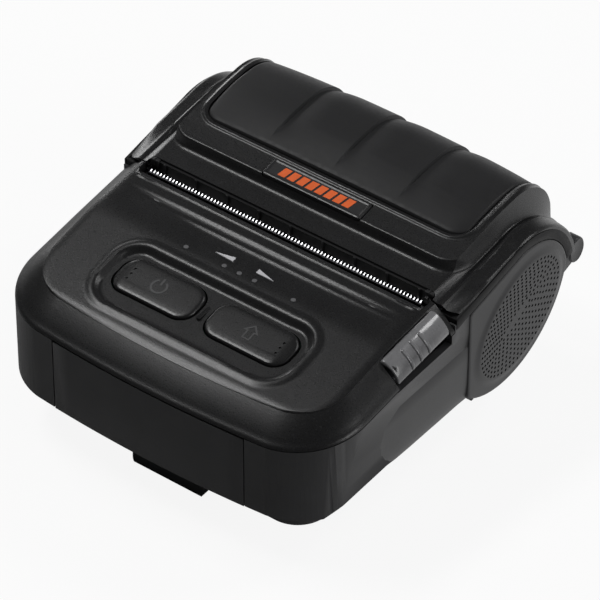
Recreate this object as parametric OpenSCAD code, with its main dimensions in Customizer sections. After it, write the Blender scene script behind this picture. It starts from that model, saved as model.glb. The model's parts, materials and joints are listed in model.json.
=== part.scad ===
// Portable label printer for paper about 80 mm wide, carried on a belt.
// X runs to the right, Y to the back and Z up, in millimetres. The origin is in
// the middle of the printer's box, on the surface that the printer lies on.

/* [Overall] */
// Width of the paper that the printer takes
paper_w = 80; // [78:1:104]
// From the paper's edge to the outside of the case
side_room = 11.2; // [11:0.2:14]
// From the tear line forward to the front face
panel_l = 56.6; // [56:0.2:70]
// From the tear line back to the end of the strap ears
bay_l = 61.8; // [61:0.2:76]
// From the underside of the bottom plate up to the panel at the tear line
panel_h = 38.2; // [38:0.2:46]
// How far the belt clip reaches below the bottom plate
clip_drop = 11; // [10:0.2:15]

/* [Case] */
// Thickness of the moulded shells
wall = 2; // [1.4:0.1:2.2]
// Radius of the two upright front corners
corner_r = 19; // [12:1:24]
// How far the front face bows out in the middle
front_bow = 1.3; // [0.8:0.1:2]
// Height of the bottom plate
plate_h = 3.4; // [3:0.1:4.5]
// Height of the case's lower rim
rim_z = 3.6; // [3.5:0.1:5]
// Height of the seam between case and front cover at the front face
seam_z = 25.4; // [24.8:0.1:27]
// Slope of that seam, in degrees
seam_tilt = 6; // [4:0.5:7]
// Radius of the round ends of the paper bay
drum_r = 26.1; // [24:0.1:27]
// Gap at every seam between two shells
seam_gap = 0.3; // [0.2:0.05:0.6]

/* [Front cover] */
// Slope of the button panel, in degrees
panel_tilt = 10; // [8:0.5:11]
// From the outside of the case in to the edge of the flat panel
shoulder = 6.1; // [5:0.1:7]
// Depth of the button well
well_depth = 0.9; // [0.5:0.1:1]
// Length and width of the button well
well_size = [61, 20];
// Length and width of a button
button_size = [24.6, 11.2];
// Distance of each button from the middle
button_x = 14.2; // [13.6:0.1:16]
// How far a button travels
button_travel = 0.8; // [0.4:0.1:1.2]
// Diameter of a light pipe
lamp_d = 1.3; // [1:0.1:2]
// Distance of the two outer lamps from the middle
lamp_out = 16.45; // [14:0.05:20]
// Distance between the three middle lamps
lamp_step = 4.65; // [4:0.05:6]

/* [Paper path] */
// Length of the paper slot
slot_w = 88; // [86:1:90]
// Gap between the tear bar and the lip of the lid
slot_gap = 2.5; // [2:0.1:3]
// Pitch of the teeth of the tear bar
tooth_pitch = 1; // [1:0.25:2]
// Radius of the rubber platen
platen_r = 4.9; // [4.4:0.1:5]
// Radius of the platen's steel shaft
shaft_r = 2; // [1.5:0.1:2.2]
// Running clearance of every shaft in its bore, on the radius
run_gap = 0.05; // [0.02:0.01:0.08]
// Radius of the space for the paper roll
roll_r = 17.2; // [15:0.1:17.2]

/* [Drive] */
// Module of the gears
gear_module = 0.5; // [0.4:0.05:0.5]
// Width of the gears
gear_w = 2.3; // [1.8:0.1:2.4]
// Radius of the stepper motor
motor_r = 7; // [6:0.1:7]
// Length of the stepper motor
motor_l = 10.4; // [8:0.1:10.6]

/* [Battery] */
// Width of the battery pack
battery_w = 58.4; // [54:0.2:58.6]
// Length of the battery pack, from the front face
battery_l = 50; // [44:0.5:50]
// Diameter of a battery cell
cell_d = 18; // [16:0.5:18]

/* [Lid] */
// How far the lid opens, in degrees
lid_open = 70; // [60:1:72]
// Radius of the lid's hinge pin
hinge_r = 1; // [0.8:0.05:1.2]
// Half width of the raised part of the lid
pad_half = 43; // [42:0.2:43.2]
// Half width of the glossy inset panel
inset_half = 40.2; // [39:0.2:40.4]

/* [Belt clip and strap bar] */
// Width of the belt clip
clip_w = 21.8; // [18:0.2:26]
// Thickness of the clip's tongue
clip_t = 2.8; // [2.4:0.1:3.2]
// Radius of the strap bar
bar_r = 1.25; // [1:0.05:1.5]

/* [Hidden] */
$fn = 48;

half_w = paper_w / 2 + side_room;
slot_y = (panel_l - bay_l) / 2;
end_half = half_w + 0.8;
hair = 0.05;

// The panel is a steep front part and a flatter strip that ends at the slot
strip_tilt = 3.5;
lamp_y = -18.8;
lamp_z = panel_h + lamp_y * tan(strip_tilt);
panel_front = -panel_l + 7.5;
function panel_z(y) =
  y > lamp_y ? panel_h + y * tan(strip_tilt) : lamp_z + (y - lamp_y) * tan(panel_tilt);
function seam_at(y) = seam_z + (y + panel_l) * tan(seam_tilt);
button_y = -32.5;
well_y = -33.2;
button_proud = 0.5;

// Round end, belly and lid of the paper bay, as centre and radius in Y and Z
drum = [22.2, drum_r];
belly = [32.6, 20.5];
belly_r = 18.6;
arch = [29.6, 18.5];
arch_r = 20.5;
arch_tilt = 11.2;
shoulder_arc = [31.1, 18];
shoulder_r = 22.6;
cheek_arc = [30.6, 18];
cheek_r = 22.3;
lid_arc = [37.1, 30.2];
lid_r = 15.4;
pad_rise = [[22.6, 44.2], [26.4, 44.85], [30.4, 45.3]];
inset_arc = [37.1, 31.1];
inset_r = 16.2;
lid_front = 0.6;
lip_y = slot_gap + 0.1;
hinge = [49.9, 19.6];
lid_back = hinge[0] + 2.3;
barrel_r = 2;
barrel_half = 34;
barrel_l = 4;
hinge_shelf = hinge[1] - barrel_r - 0.3;

// Paper roll, platen and gears
roll = [30.2, 23];
platen = [7.2, 30.6];
mech_half = paper_w / 2 + 1.6;
frame_t = 1.4;
ear_x = mech_half + frame_t + 0.6;
ear_t = 1.6;
gear_x = ear_x + ear_t + 0.4;
platen_teeth = 20;
idler_teeth = 30;
pinion_teeth = 12;
mesh_gap = 0.05;
// The idler lies straight below the platen as seen along the path that the lid gives it
lift_a = atan2(hinge[0] - platen[0], platen[1] - hinge[1]);
mesh_a = 180 + lift_a;
idler_d = gear_module * (platen_teeth + idler_teeth) / 2 + mesh_gap;
idler = platen + idler_d * [cos(mesh_a), sin(mesh_a)];
idler_tooth = mesh_a - 180 + 180 / idler_teeth;
motor_a = idler_tooth + 10 * 360 / idler_teeth;
motor_d = gear_module * (idler_teeth + pinion_teeth) / 2 + mesh_gap;
motor = idler + motor_d * [cos(motor_a), sin(motor_a)];

// Print head, springs behind it and the hook that the latch works
head_pivot = [-0.5, 22.6];
head_face = platen[0] - platen_r - 0.3;
head_t = 1.3;
sink_t = 2.5;
spring_room = 3.4;
bracket_y = head_face - head_t - sink_t - spring_room;
hook = [-5.4, 24];
hook_arm = 10.5;
hook_x = ear_x + ear_t + 0.6;
latch_travel = 1.8;
latch_y = [-22.7, -2];
latch_low = 31.5;
latch_pocket = 0.3;

// Battery bay
bay_half = battery_w / 2 + seam_gap;
battery_z = plate_h + 0.3;
battery_top = 24;
battery_back = -panel_l + battery_l;

// Circuit board
board_z = 26.6;
board_t = 1.6;
board_half = paper_w / 2 - 0.5;

// Strap ears and bar behind the case
bar_c = [bay_l - 2.4, 16.4];
strap_out = half_w - 3.7;
strap_t = 3.5;

// Belt clip
clip_front = -48.4;
clip_pin_c = [clip_front + 4, -clip_drop / 2 + 0.1];
clip_pin_r = 1.2;
clip_knuckle = 4.5;
clip_back = 22;

// Ports on the left side
port_y = [-40, -14];
port_z = [9, 19];
flap_t = 1.5;
flap_pin = [-half_w + flap_t / 2, port_y[1] - flap_t / 2];

module at_slot() { translate([0, slot_y, clip_drop]) children(); }
module along_x(x0, x1) { translate([x0, 0, 0]) rotate([90, 0, 90]) linear_extrude(x1 - x0) children(); }
module along_y(y0, y1) { translate([0, y1, 0]) rotate([90, 0, 0]) linear_extrude(y1 - y0) children(); }
module both_sides() { children(); mirror([1, 0, 0]) children(); }
module disc_at(c, r) { translate(c) circle(r); }
module block(x, y, z) {
  translate([x[0], y[0], z[0]]) cube([x[1] - x[0], y[1] - y[0], z[1] - z[0]]);
}
module round_rect(w, l, r) {
  square([w - 2 * r, l], center = true);
  square([w, l - 2 * r], center = true);
  for (i = [-1, 1], j = [-1, 1]) translate([i * (w / 2 - r), j * (l / 2 - r)]) circle(r);
}
function arc(c, r, a0, a1, n) =
  [for (i = [0:n]) let (a = a0 + (a1 - a0) * i / n) c + r * [cos(a), sin(a)]];

// Plan outline of the case or cover, drawn in from the outside by i
module plan(i, half, front, r, back) {
  bow_r = (half - r) * (half - r) / 2 / front_bow;
  intersection() {
    union() {
      translate([-half + i, front + front_bow + r]) square([2 * (half - i), back - front - front_bow - r]);
      translate([-half + r, front + i]) square([2 * (half - r), back - front - i]);
      for (s = [-1, 1]) translate([s * (half - r), front + front_bow + r]) circle(r - i);
    }
    translate([0, front + bow_r]) circle(bow_r - i, $fn = 96);
  }
}
module case_plan(i, back) { plan(i, half_w, -panel_l, corner_r, back); }

// The case narrows a little towards the rim, whose edge is rounded
module case_front_view(i) {
  draft = 1.3;
  rim_r = 2.5;
  polygon([
    [-half_w + draft + rim_r, rim_z + i], [half_w - draft - rim_r, rim_z + i],
    [half_w - draft - i, rim_z + rim_r], [half_w - i, seam_z + 2], [half_w - i, 80],
    [-half_w + i, 80], [-half_w + i, seam_z + 2], [-half_w + draft + i, rim_z + rim_r]
  ]);
}

// Everything that lies below the seam between the case and the cover or the lid
module below_seam(drop) {
  knee = arch + (arch_r - drop) * [-sin(arch_tilt), cos(arch_tilt)];
  start = lid_front - 0.4;
  polygon(concat(
    [[-70, -20], [-70, seam_at(-70) - drop], [start, seam_at(start) - drop],
     [start, knee[1] - (knee[0] - start) * tan(arch_tilt)]],
    arc(arch, arch_r - drop, 90 + arch_tilt, 0, 24),
    [[arch[0] + arch_r - drop, hinge_shelf], [70, hinge_shelf], [70, -20]]
  ));
}

// Side view of the middle of the case: front tub and belly round the paper bay
module belly_view(i) {
  polygon([[-70, rim_z + i], [belly[0] - 14, rim_z + i], [belly[0], belly[1] - belly_r + i],
           [belly[0], 80], [-70, 80]]);
  disc_at(belly, belly_r - i);
  translate([belly[0], belly[1]]) square([belly_r - i, 60]);
}

module lower_case_body() {
  intersection() {
    union() {
      along_x(-half_w, half_w) {
        polygon([[-70, rim_z], [9, rim_z], [14, 1.3], [22, 40], [-70, 60]]);
        disc_at(drum, drum_r);
      }
      along_x(-half_w + 4, half_w - 4) belly_view(0);
    }
    linear_extrude(80) case_plan(0, bay_l);
    union() {
      along_y(-70, 8) case_front_view(0);
      block([-half_w, half_w], [8, 70], [-1, 80]);
    }
    along_x(-half_w - 1, half_w + 1) below_seam(0);
  }
}

module lower_case_hollow() {
  intersection() {
    along_x(-half_w + wall, half_w - wall) {
      polygon([[-70, rim_z + 1.6], [8, rim_z + 1.6], [16, 3.4], [30, 60], [-70, 60]]);
      disc_at(drum, drum_r - wall);
    }
    linear_extrude(80) case_plan(wall, bay_l);
  }
  along_x(-half_w + 4 + wall, half_w - 4 - wall) intersection() {
    belly_view(wall);
    translate([4, -1]) square([60, 80]);
  }
}

module strap_ear() {
  root = belly[0] + belly_r - 2.6;
  difference() {
    along_x(strap_out - strap_t, strap_out) {
      polygon([[root, 10.4], bar_c + [-4.5, -4], bar_c + [0, 1.2], [root, hinge_shelf]]);
      disc_at(bar_c, 2.4);
      disc_at(bar_c + [-3.2, -3.4], 1.9);
      polygon([bar_c + [1.7, -1.7], bar_c + [-1.9, -4.75], bar_c + [-4.5, -2], bar_c + [-1.7, 1.7]]);
    }
    along_x(strap_out - strap_t - 1, strap_out - 1) disc_at(bar_c, bar_r + run_gap);
  }
}

module lower_case() {
  color([0.16, 0.16, 0.17]) at_slot() {
    difference() {
      union() {
        difference() {
          lower_case_body();
          lower_case_hollow();
          // The rear wall stops at a shelf, so that the lid and its barrel can turn
          block([-bay_mouth, bay_mouth], [belly[0] + 11, 70], [hinge_shelf, 80]);
        }
        // Roof and side walls of the battery bay
        block([-bay_half - 1.4, bay_half + 1.4], [-panel_l + 3.4, battery_back + 1.7],
              [rim_z, battery_top + 1.5]);
        both_sides() strap_ear();
        // Posts that carry the lid's hinge pin
        both_sides() along_x(barrel_half + 0.3, barrel_half + 0.3 + barrel_l) {
          disc_at(hinge, barrel_r);
          polygon([hinge + [-barrel_r, 0], hinge + [barrel_r, 0], [belly[0] + belly_r - 0.6, 14],
                   [belly[0] + belly_r - 3.2, 14]]);
        }
        // Bosses that the bottom plate's screws enter
        both_sides() for (y = screw_y) translate([screw_x, y, rim_z]) cylinder(r = 3, h = 5);
        // Seat of the latch's spring
        block([latch_spring_c[0] - 1.7, half_w - wall + 0.1],
              [latch_spring_c[1] - 1.7, latch_spring_c[1] + 1.7], [latch_spring_z - 2, latch_spring_z]);
      }
      block([-bay_half, bay_half], [-panel_l - 1, battery_back + 0.3], [-1, battery_top + 0.3]);
      block([-bay_half, bay_half], [-panel_l - 1, -panel_l + 3.6], [-1, 60]);
      for (x = contact_x) block([x - 1.5, x + 1.5], [battery_back, battery_back + 2], [11, 16]);
      along_x(-half_w, half_w) disc_at(hinge, hinge_r);
      both_sides() for (y = screw_y) translate([screw_x, y, -1]) cylinder(r = 1.1, h = 9.2);
      // Recess of each side cap, and the opening behind its holes
      both_sides() {
        along_x(cap_x - 0.02, end_half + 1) cap_view(0);
        along_x(half_w - wall - 1, half_w) cap_view(2.4);
      }
      // Notch under the release latch, and the opening for the ports
      block([half_w - 3.5, half_w + 1], latch_y + [-0.6, 0.9], [latch_notch_z, 50]);
      block([-half_w - 1, -half_w + wall + 1], port_y + [2, -2], port_z + [1.5, -1.5]);
      block([-half_w - 1, -half_w + flap_t + 0.1], port_y + [-0.4, 0.4], port_z + [-0.3, 0.3]);
    }
  }
}
bay_mouth = half_w - 7.7;
screw_x = half_w - 12.8;
screw_y = [-44, 2];
latch_notch_z = 28.7;

// Outline of a side cap: the round end of the bay, ahead a straight edge, above the lid's seam
cap_front = 6.1;
cap_x = half_w - 0.75;
module cap_view(i) {
  intersection() {
    disc_at(drum, drum_r - i);
    below_seam(1.6 + i);
    translate([cap_front + i, -2]) square([60, 80]);
  }
}
// Sound holes in nested ovals whose long way rises to the back
grille_c = [27.5, 17.9];
grille_size = [17.2, 12.7];
grille_tilt = 28;
grille_step = 1.55;
grille_pitch = 1.72;
grille_hole = 0.42;
module grille_holes() {
  for (k = [0:7]) {
    a = grille_size[0] - k * grille_step;
    b = grille_size[1] - k * grille_step;
    count = round(2 * PI * sqrt((a * a + b * b) / 2) / grille_pitch);
    for (i = [0:count - 1]) let (t = (i + k / 2) * 360 / count)
      translate([a * cos(t), b * sin(t)]) circle(grille_hole, $fn = 16);
  }
}
module side_cap() {
  along_x(cap_x, end_half) difference() {
    cap_view(0.12);
    translate(grille_c) rotate(grille_tilt) grille_holes();
  }
}
module side_cap_right() { color([0.2, 0.2, 0.21]) at_slot() side_cap(); }
module side_cap_left() { color([0.2, 0.2, 0.21]) at_slot() mirror([1, 0, 0]) side_cap(); }

// One level of the cover's rounded shoulder: how far in from the outside it lies, and its
// share of the way up from the seam to the panel
module cover_level(i, inset, share, drop) {
  half = half_w - inset - i;
  z = (1 - share) * seam_at(lamp_y) + share * lamp_z - drop;
  steep = atan((1 - share) * tan(seam_tilt) + share * tan(panel_tilt));
  flat = atan((1 - share) * tan(seam_tilt) + share * tan(strip_tilt));
  front = (-panel_l + 1.23 * inset + i - lamp_y) / cos(steep);
  translate([0, lamp_y, z]) {
    rotate([steep, 0, 0]) translate([0, -lamp_y, -hair])
      linear_extrude(hair) plan(0, half, lamp_y + front, corner_r - inset - i, lamp_y);
    rotate([flat, 0, 0]) block([-half, half], [-hair, (0.2 - lamp_y) / cos(flat)], [-hair, 0]);
  }
}
module cover_form(i, drop) {
  hull() {
    cover_level(i, 0, 0, drop - hair - 0.1);
    cover_level(i, 0.1 * shoulder, 0.34, drop);
    cover_level(i, 0.33 * shoulder, 0.66, drop);
    cover_level(i, 0.64 * shoulder, 0.89, drop);
    cover_level(i, shoulder, 1, drop);
  }
}

// Places a shape on the steep part of the panel, with Z square to it
module on_panel(x, y) { translate([x, y, panel_z(y)]) rotate([panel_tilt, 0, 0]) children(); }

latch_mid = (latch_y[0] + latch_y[1]) / 2;
latch_tilt = 4.7;
module latch_turn() {
  translate([0, latch_mid, 34]) rotate([latch_tilt, 0, 0]) translate([0, -latch_mid, -34]) children();
}
// Outer outline of the latch seen from the front, grown by g
function latch_line(g) = [[half_w - 5.7 - g, panel_h - 1.5], [half_w - 4.6, panel_h - 1.2 + g],
                          [half_w - 1.9 + g, panel_h - 3.1 + g], [half_w - 0.3 + g, latch_low + 1.8]];
module latch_section(thick) {
  polygon(concat(latch_line(0), [
    [half_w - 0.3, latch_low], [half_w - 0.3 - thick, latch_low], [half_w - 0.3 - thick, latch_low + 1.2],
    [half_w - 2 - thick, panel_h - 4.2], [half_w - 5.7, panel_h - 1.5 - thick]
  ]));
}
module latch_opening(g) {
  polygon(concat(latch_line(g),
                 [[half_w + 2, latch_low + 1.8], [half_w + 2, 20], [half_w - 5.7 - g, 20]]));
}

module front_cover() {
  color([0.1, 0.1, 0.11]) at_slot() difference() {
    union() {
      difference() {
        cover_form(0, 0);
        translate([0, 0.01, 0]) cover_form(wall, wall);
      }
      block([-slot_w / 2, slot_w / 2], [-5.6, -1], [34.3, panel_h - 1.9]);
    }
    on_panel(0, well_y) translate([0, 0, -well_depth])
      linear_extrude(5) round_rect(well_size[0], well_size[1], 8);
    for (s = [-1, 1]) on_panel(s * button_x, button_y) translate([0, 0, -8])
      linear_extrude(12) round_rect(button_size[0] + 0.7, button_size[1] + 0.7, 4.3);
    for (x = lamps) translate([x, lamp_y, 20]) cylinder(d = lamp_d + 0.1, h = 30);
    // Mouth of the paper slot with its slanted front
    along_x(-slot_w / 2, slot_w / 2)
      polygon([[-3.8, 45], [-3.8, panel_h - 0.35], [-1, panel_h - 1.8], [-1, 20], [4, 20], [4, 45]]);
    // Pocket of the release latch
    latch_turn() along_y(latch_y[0] - latch_pocket, latch_y[1] + latch_pocket) latch_opening(latch_pocket);
  }
}
lamps = [-lamp_out, -lamp_step, 0, lamp_step, lamp_out];

module bottom_plate() {
  plate_half = half_w - 6.2;
  plate_front = -panel_l + 4.7;
  color([0.05, 0.05, 0.055]) at_slot() difference() {
    linear_extrude(plate_h) translate([0, plate_front + 29.6]) round_rect(2 * plate_half, 59.2, 9);
    both_sides() for (y = screw_y) translate([screw_x, y, -1]) {
      cylinder(r = 1.3, h = 8);
      cylinder(r = 2.4, h = 2.6);
    }
    for (y = clip_screw_y) translate([0, y, -1]) cylinder(r = 1, h = 8);
    both_sides() for (y = foot_y) translate([foot_x, y, -1]) cylinder(r = 3.05, h = 1.5);
    along_x(-half_w, half_w) disc_at(drum, drum_r + 0.3);
    // Window through which a thumb reaches the battery's catch
    block([-8.4, 8.4], [-panel_l, -panel_l + 9.8], [-1, plate_h + 1]);
  }
}
clip_screw_y = [-38, -30];
foot_x = half_w - 18;
foot_y = [-46.5, -5];

module rubber_feet() {
  color([0.08, 0.08, 0.08]) at_slot() both_sides() for (y = foot_y)
    translate([foot_x, y, -0.6]) cylinder(r = 3, h = 1.1);
}

module tear_bar() {
  teeth = floor((slot_w - 3) / tooth_pitch);
  tooth_h = 0.9;
  top = panel_h - 0.9;
  left = -teeth * tooth_pitch / 2;
  color([0.75, 0.76, 0.78]) at_slot() {
    along_y(-0.7, 0.1) polygon(concat(
      [[left, 33.4]],
      [for (i = [0:teeth - 1]) each [[left + i * tooth_pitch, top - tooth_h],
                                     [left + (i + 0.5) * tooth_pitch, top]]],
      [[-left, top - tooth_h], [-left, 33.4]]
    ));
    block([-mech_half + 0.2, mech_half - 0.2], [-5.2, -0.69], [33.4, 34.2]);
  }
}

module print_head() {
  color([0.55, 0.5, 0.45]) at_slot()
    block([-paper_w / 2 - 1, paper_w / 2 + 1], [head_face - head_t, head_face],
          [platen[1] - 6, platen[1] + 2.4]);
}
module head_heat_sink() {
  fins = 8;
  fin_step = (paper_w - 4) / fins;
  back = head_face - head_t;
  color([0.7, 0.7, 0.72]) at_slot() difference() {
    union() {
      block([-paper_w / 2 - 1, paper_w / 2 + 1], [back - sink_t, back], [head_pivot[1] - 1.5, 33]);
      along_x(-mech_half - 0.8, mech_half + 0.8) disc_at(head_pivot, 1);
    }
    for (i = [0:fins - 1])
      block([-paper_w / 2 + 3 + i * fin_step, -paper_w / 2 + fin_step - 1 + i * fin_step],
            [back - sink_t - 1, back - sink_t + 1], [head_pivot[1] + 2, 31.6]);
  }
}
module head_bracket() {
  color([0.6, 0.61, 0.62]) at_slot() {
    block([-mech_half + 0.02, mech_half - 0.02], [bracket_y - 1.2, bracket_y], [battery_top + 1.7, 33.2]);
    block([-mech_half + 0.02, mech_half - 0.02], [bracket_y - 0.01, bracket_y + 1.3], [32, 33.2]);
  }
}
module head_springs() {
  color([0.8, 0.8, 0.82]) at_slot() for (x = [-24, 0, 24])
    translate([x, bracket_y, 28.6]) rotate([-90, 0, 0]) cylinder(r = 1.5, h = spring_room - 0.5);
}

// Steel side plate of the print mechanism, open at the top for the platen's bush
module frame_plate() {
  bush = bush_r + run_gap;
  along_x(mech_half, mech_half + frame_t) difference() {
    polygon([[-9.5, 5.4], [-9.5, 33.2], [2.4, 33.2], [6, 34], [11.4, 34.6], [13, 30], [12.4, 22],
             [10, 16], [10, 5.4]]);
    disc_at(platen, bush);
    polygon([[platen[0] - bush, platen[1]], [platen[0] + bush, platen[1]], [platen[0] + bush + 3, 36],
             [platen[0] - bush, 36]]);
    disc_at(head_pivot, 1 + run_gap);
    disc_at(idler, 1.2);
    disc_at(motor, 1.4);
    disc_at(hook, 1.2);
  }
}
bush_r = 3.2;
module frame_left() { color([0.62, 0.63, 0.65]) at_slot() mirror([1, 0, 0]) frame_plate(); }
module frame_right() { color([0.62, 0.63, 0.65]) at_slot() frame_plate(); }

module gear_stud() {
  color([0.75, 0.75, 0.77]) at_slot() {
    along_x(-gear_x - gear_w - 0.9, -mech_half) disc_at(idler, 1.2);
    along_x(-gear_x - gear_w - 0.9, -gear_x - gear_w - 0.3) disc_at(idler, 1.9);
  }
}
module hook_stud() {
  color([0.75, 0.75, 0.77]) at_slot() {
    along_x(mech_half, hook_x + 2.2) disc_at(hook, 1.2);
    along_x(hook_x + 1.7, hook_x + 2.3) disc_at(hook, 1.9);
  }
}

module stepper_motor() {
  color([0.35, 0.36, 0.38]) at_slot() {
    along_x(-mech_half, -mech_half + motor_l) disc_at(motor, motor_r);
    along_x(-mech_half, -mech_half + 0.8) {
      translate(motor) rotate(120) square([16, 4], center = true);
      disc_at(motor, motor_r + 0.4);
    }
  }
}

// Straight-sided gear teeth, with the middle of one tooth at the angle first
module gear_outline(teeth, first) {
  pitch_r = gear_module * teeth / 2;
  tip = pitch_r + 0.85 * gear_module;
  root = pitch_r - 1.15 * gear_module;
  step = 360 / teeth;
  polygon([for (i = [0:teeth - 1]) let (a = first + i * step)
    each [for (p = [[root, -0.36], [tip, -0.12], [tip, 0.12], [root, 0.36]])
      p[0] * [cos(a + p[1] * step), sin(a + p[1] * step)]]]);
}
module gear_at(c, teeth, first, bore) {
  along_x(-gear_x - gear_w, -gear_x) translate(c) difference() {
    gear_outline(teeth, first);
    circle(bore);
  }
}
module platen_gear() {
  color([0.85, 0.84, 0.8]) at_slot() gear_at(platen, platen_teeth, mesh_a, shaft_r);
}
module idler_gear() {
  color([0.8, 0.79, 0.75]) at_slot() gear_at(idler, idler_teeth, idler_tooth, 1.2 + run_gap);
}
module motor_pinion() {
  color([0.8, 0.7, 0.45]) at_slot() {
    gear_at(motor, pinion_teeth, motor_a + 180 + 180 / pinion_teeth, 1);
    along_x(-gear_x - gear_w - 0.4, -mech_half - 0.1) disc_at(motor, 1);
  }
}

module platen_roller() {
  color([0.06, 0.06, 0.06]) at_slot() along_x(-paper_w / 2 - 0.6, paper_w / 2 + 0.6) difference() {
    disc_at(platen, platen_r);
    disc_at(platen, shaft_r);
  }
}
module platen_shaft() {
  color([0.75, 0.75, 0.77]) at_slot() along_x(-gear_x - gear_w, hook_x + 1.3) disc_at(platen, shaft_r);
}
module platen_bushes() {
  color([0.2, 0.2, 0.2]) at_slot() both_sides() along_x(mech_half - 0.3, ear_x) difference() {
    disc_at(platen, bush_r);
    disc_at(platen, shaft_r + run_gap);
  }
}
// Channel under the lid's front strip whose two ears hold the platen's bushes
module platen_bracket() {
  ear_half = ear_x + ear_t;
  color([0.3, 0.3, 0.31]) at_slot() difference() {
    union() {
      block([-ear_half, ear_half], [4.9, 10.6],
            [platen[1] + platen_r + 0.45, platen[1] + platen_r + 1.25]);
      both_sides() along_x(ear_x, ear_half) {
        disc_at(platen, 3.4);
        translate([platen[0] - 3.4, platen[1]]) square([6.8, platen_r + 1.25]);
      }
    }
    along_x(-half_w, half_w) disc_at(platen, shaft_r + run_gap);
  }
}

module roll_tray() {
  t = 1.2;
  half = mech_half - 0.2;
  color([0.13, 0.13, 0.14]) at_slot() {
    along_x(-half, half) difference() {
      disc_at(roll, roll_r + t);
      disc_at(roll, roll_r);
      polygon([roll, roll + 40 * [cos(192), sin(192)], roll + [-40, 50], roll + [60, 50],
               roll + 60 * [cos(-24), sin(-24)]]);
    }
    both_sides() along_x(half - 1.2, half) difference() {
      disc_at(roll, roll_r + t);
      disc_at(roll, roll_r - 5);
      translate([0, roll[1] - 3]) square([80, 60]);
    }
    both_sides() block([half - 1.2, half], [26, 34], [4.1, roll[1] - roll_r - 0.3]);
    block([-half, half], [-1, 1] * 0.6 + [roll[0], roll[0]], [4.1, roll[1] - roll_r - 0.3]);
  }
}
module paper_sensor() {
  color([0.12, 0.12, 0.14]) at_slot() difference() {
    block([-6, 6], [6.5, 11.4], [15.2, 19]);
    along_x(-7, 7) disc_at(roll, roll_r + 1.5);
  }
}

module main_board() {
  color([0.05, 0.3, 0.18]) at_slot() {
    difference() {
      translate([0, -28, board_z]) linear_extrude(board_t) round_rect(2 * board_half, 36, 3);
      both_sides() translate([board_half - 4, -42, board_z - 1]) cylinder(r = 1.3, h = 4);
    }
    block([-6, 6], [-44, -36], [board_z + board_t - 0.01, board_z + board_t + 1.2]);
    block([-30, -22], [-44, -38], [board_z + board_t - 0.01, board_z + board_t + 1.6]);
    both_sides() block([board_half - 9, board_half - 6], [-28, -25], [battery_top + 1.5, board_z + 0.01]);
    both_sides() block([10, 13], [-44, -41], [battery_top + 1.5, board_z + 0.01]);
  }
}
module button_switches() {
  color([0.3, 0.3, 0.32]) at_slot() for (s = [-1, 1]) {
    block([s * button_x - 3, s * button_x + 3], [button_y - 3, button_y + 3],
          [board_z + board_t, board_z + board_t + 2.4]);
    translate([s * button_x, button_y, board_z + board_t]) cylinder(r = 1.5, h = 3);
  }
}
module light_pipes() {
  color([0.75, 0.75, 0.78]) at_slot() for (x = lamps)
    translate([x, lamp_y, board_z + board_t + 0.2])
      cylinder(d = lamp_d, h = panel_z(lamp_y) - board_z - board_t - 0.15);
}
module radio_module() {
  color([0.6, 0.6, 0.62]) at_slot()
    block([20, 33], [-24, -13], [board_z + board_t, board_z + board_t + 2]);
}
module head_cable() {
  w = 30;
  color([0.75, 0.7, 0.6]) at_slot() {
    block([-w / 2, w / 2], [-12, -10], [board_z + board_t, board_z + board_t + 1.4]);
    block([-w / 2, w / 2], [-11.4, bracket_y - 1.4], [board_z + board_t + 0.5, board_z + board_t + 0.8]);
  }
}
module buzzer() {
  color([0.08, 0.08, 0.08]) at_slot() translate([-34, -20, board_z + board_t]) cylinder(r = 4, h = 3.4);
}
module battery_contacts() {
  color([0.85, 0.7, 0.35]) at_slot() for (x = contact_x)
    block([x - 1.5, x + 1.5], [battery_back + 0.4, battery_back + 2.6], [11, 16]);
}

contact_x = [-18, -6, 6, 18];

module port_board() {
  color([0.05, 0.3, 0.18]) at_slot() block([-half_w + 4.4, -bay_half - 1.6], [-39, -15], [7.6, 8.8]);
}
module charge_socket() {
  color([0.07, 0.07, 0.07]) at_slot() difference() {
    block([-half_w + 2.6, -half_w + 13], [-36, -27], [8.8, 17]);
    along_x(-half_w, -half_w + 10) disc_at([-31.5, 13.4], 2.6);
  }
}
module data_socket() {
  color([0.75, 0.75, 0.77]) at_slot() difference() {
    block([-half_w + 2.6, -half_w + 10], [-25, -17], [8.8, 12.6]);
    block([-half_w, -half_w + 8], [-24.4, -17.6], [9.4, 12]);
  }
}
module port_flap() {
  color([0.07, 0.07, 0.075]) at_slot() translate([0, 0, port_z[0]]) linear_extrude(port_z[1] - port_z[0])
    union() {
      polygon([[-half_w, port_y[0] + 0.1], [-half_w, flap_pin[1]], [-half_w + flap_t, flap_pin[1]],
               [-half_w + flap_t, port_y[0] + 0.3]]);
      disc_at(flap_pin, flap_t / 2);
    }
}

module lid_hinge_pin() {
  color([0.75, 0.75, 0.77]) at_slot() along_x(-barrel_half - barrel_l, barrel_half + barrel_l)
    disc_at(hinge, hinge_r);
}
module strap_bar() {
  color([0.5, 0.5, 0.52]) at_slot() along_x(-strap_out + 1.2, strap_out - 1.2) disc_at(bar_c, bar_r);
}
module case_screws() {
  color([0.6, 0.6, 0.62]) at_slot() both_sides() for (y = screw_y) translate([screw_x, y, 0]) {
    translate([0, 0, 0.2]) cylinder(r = 2.2, h = 1.38);
    cylinder(r = 1.1, h = 8);
  }
}

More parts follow.
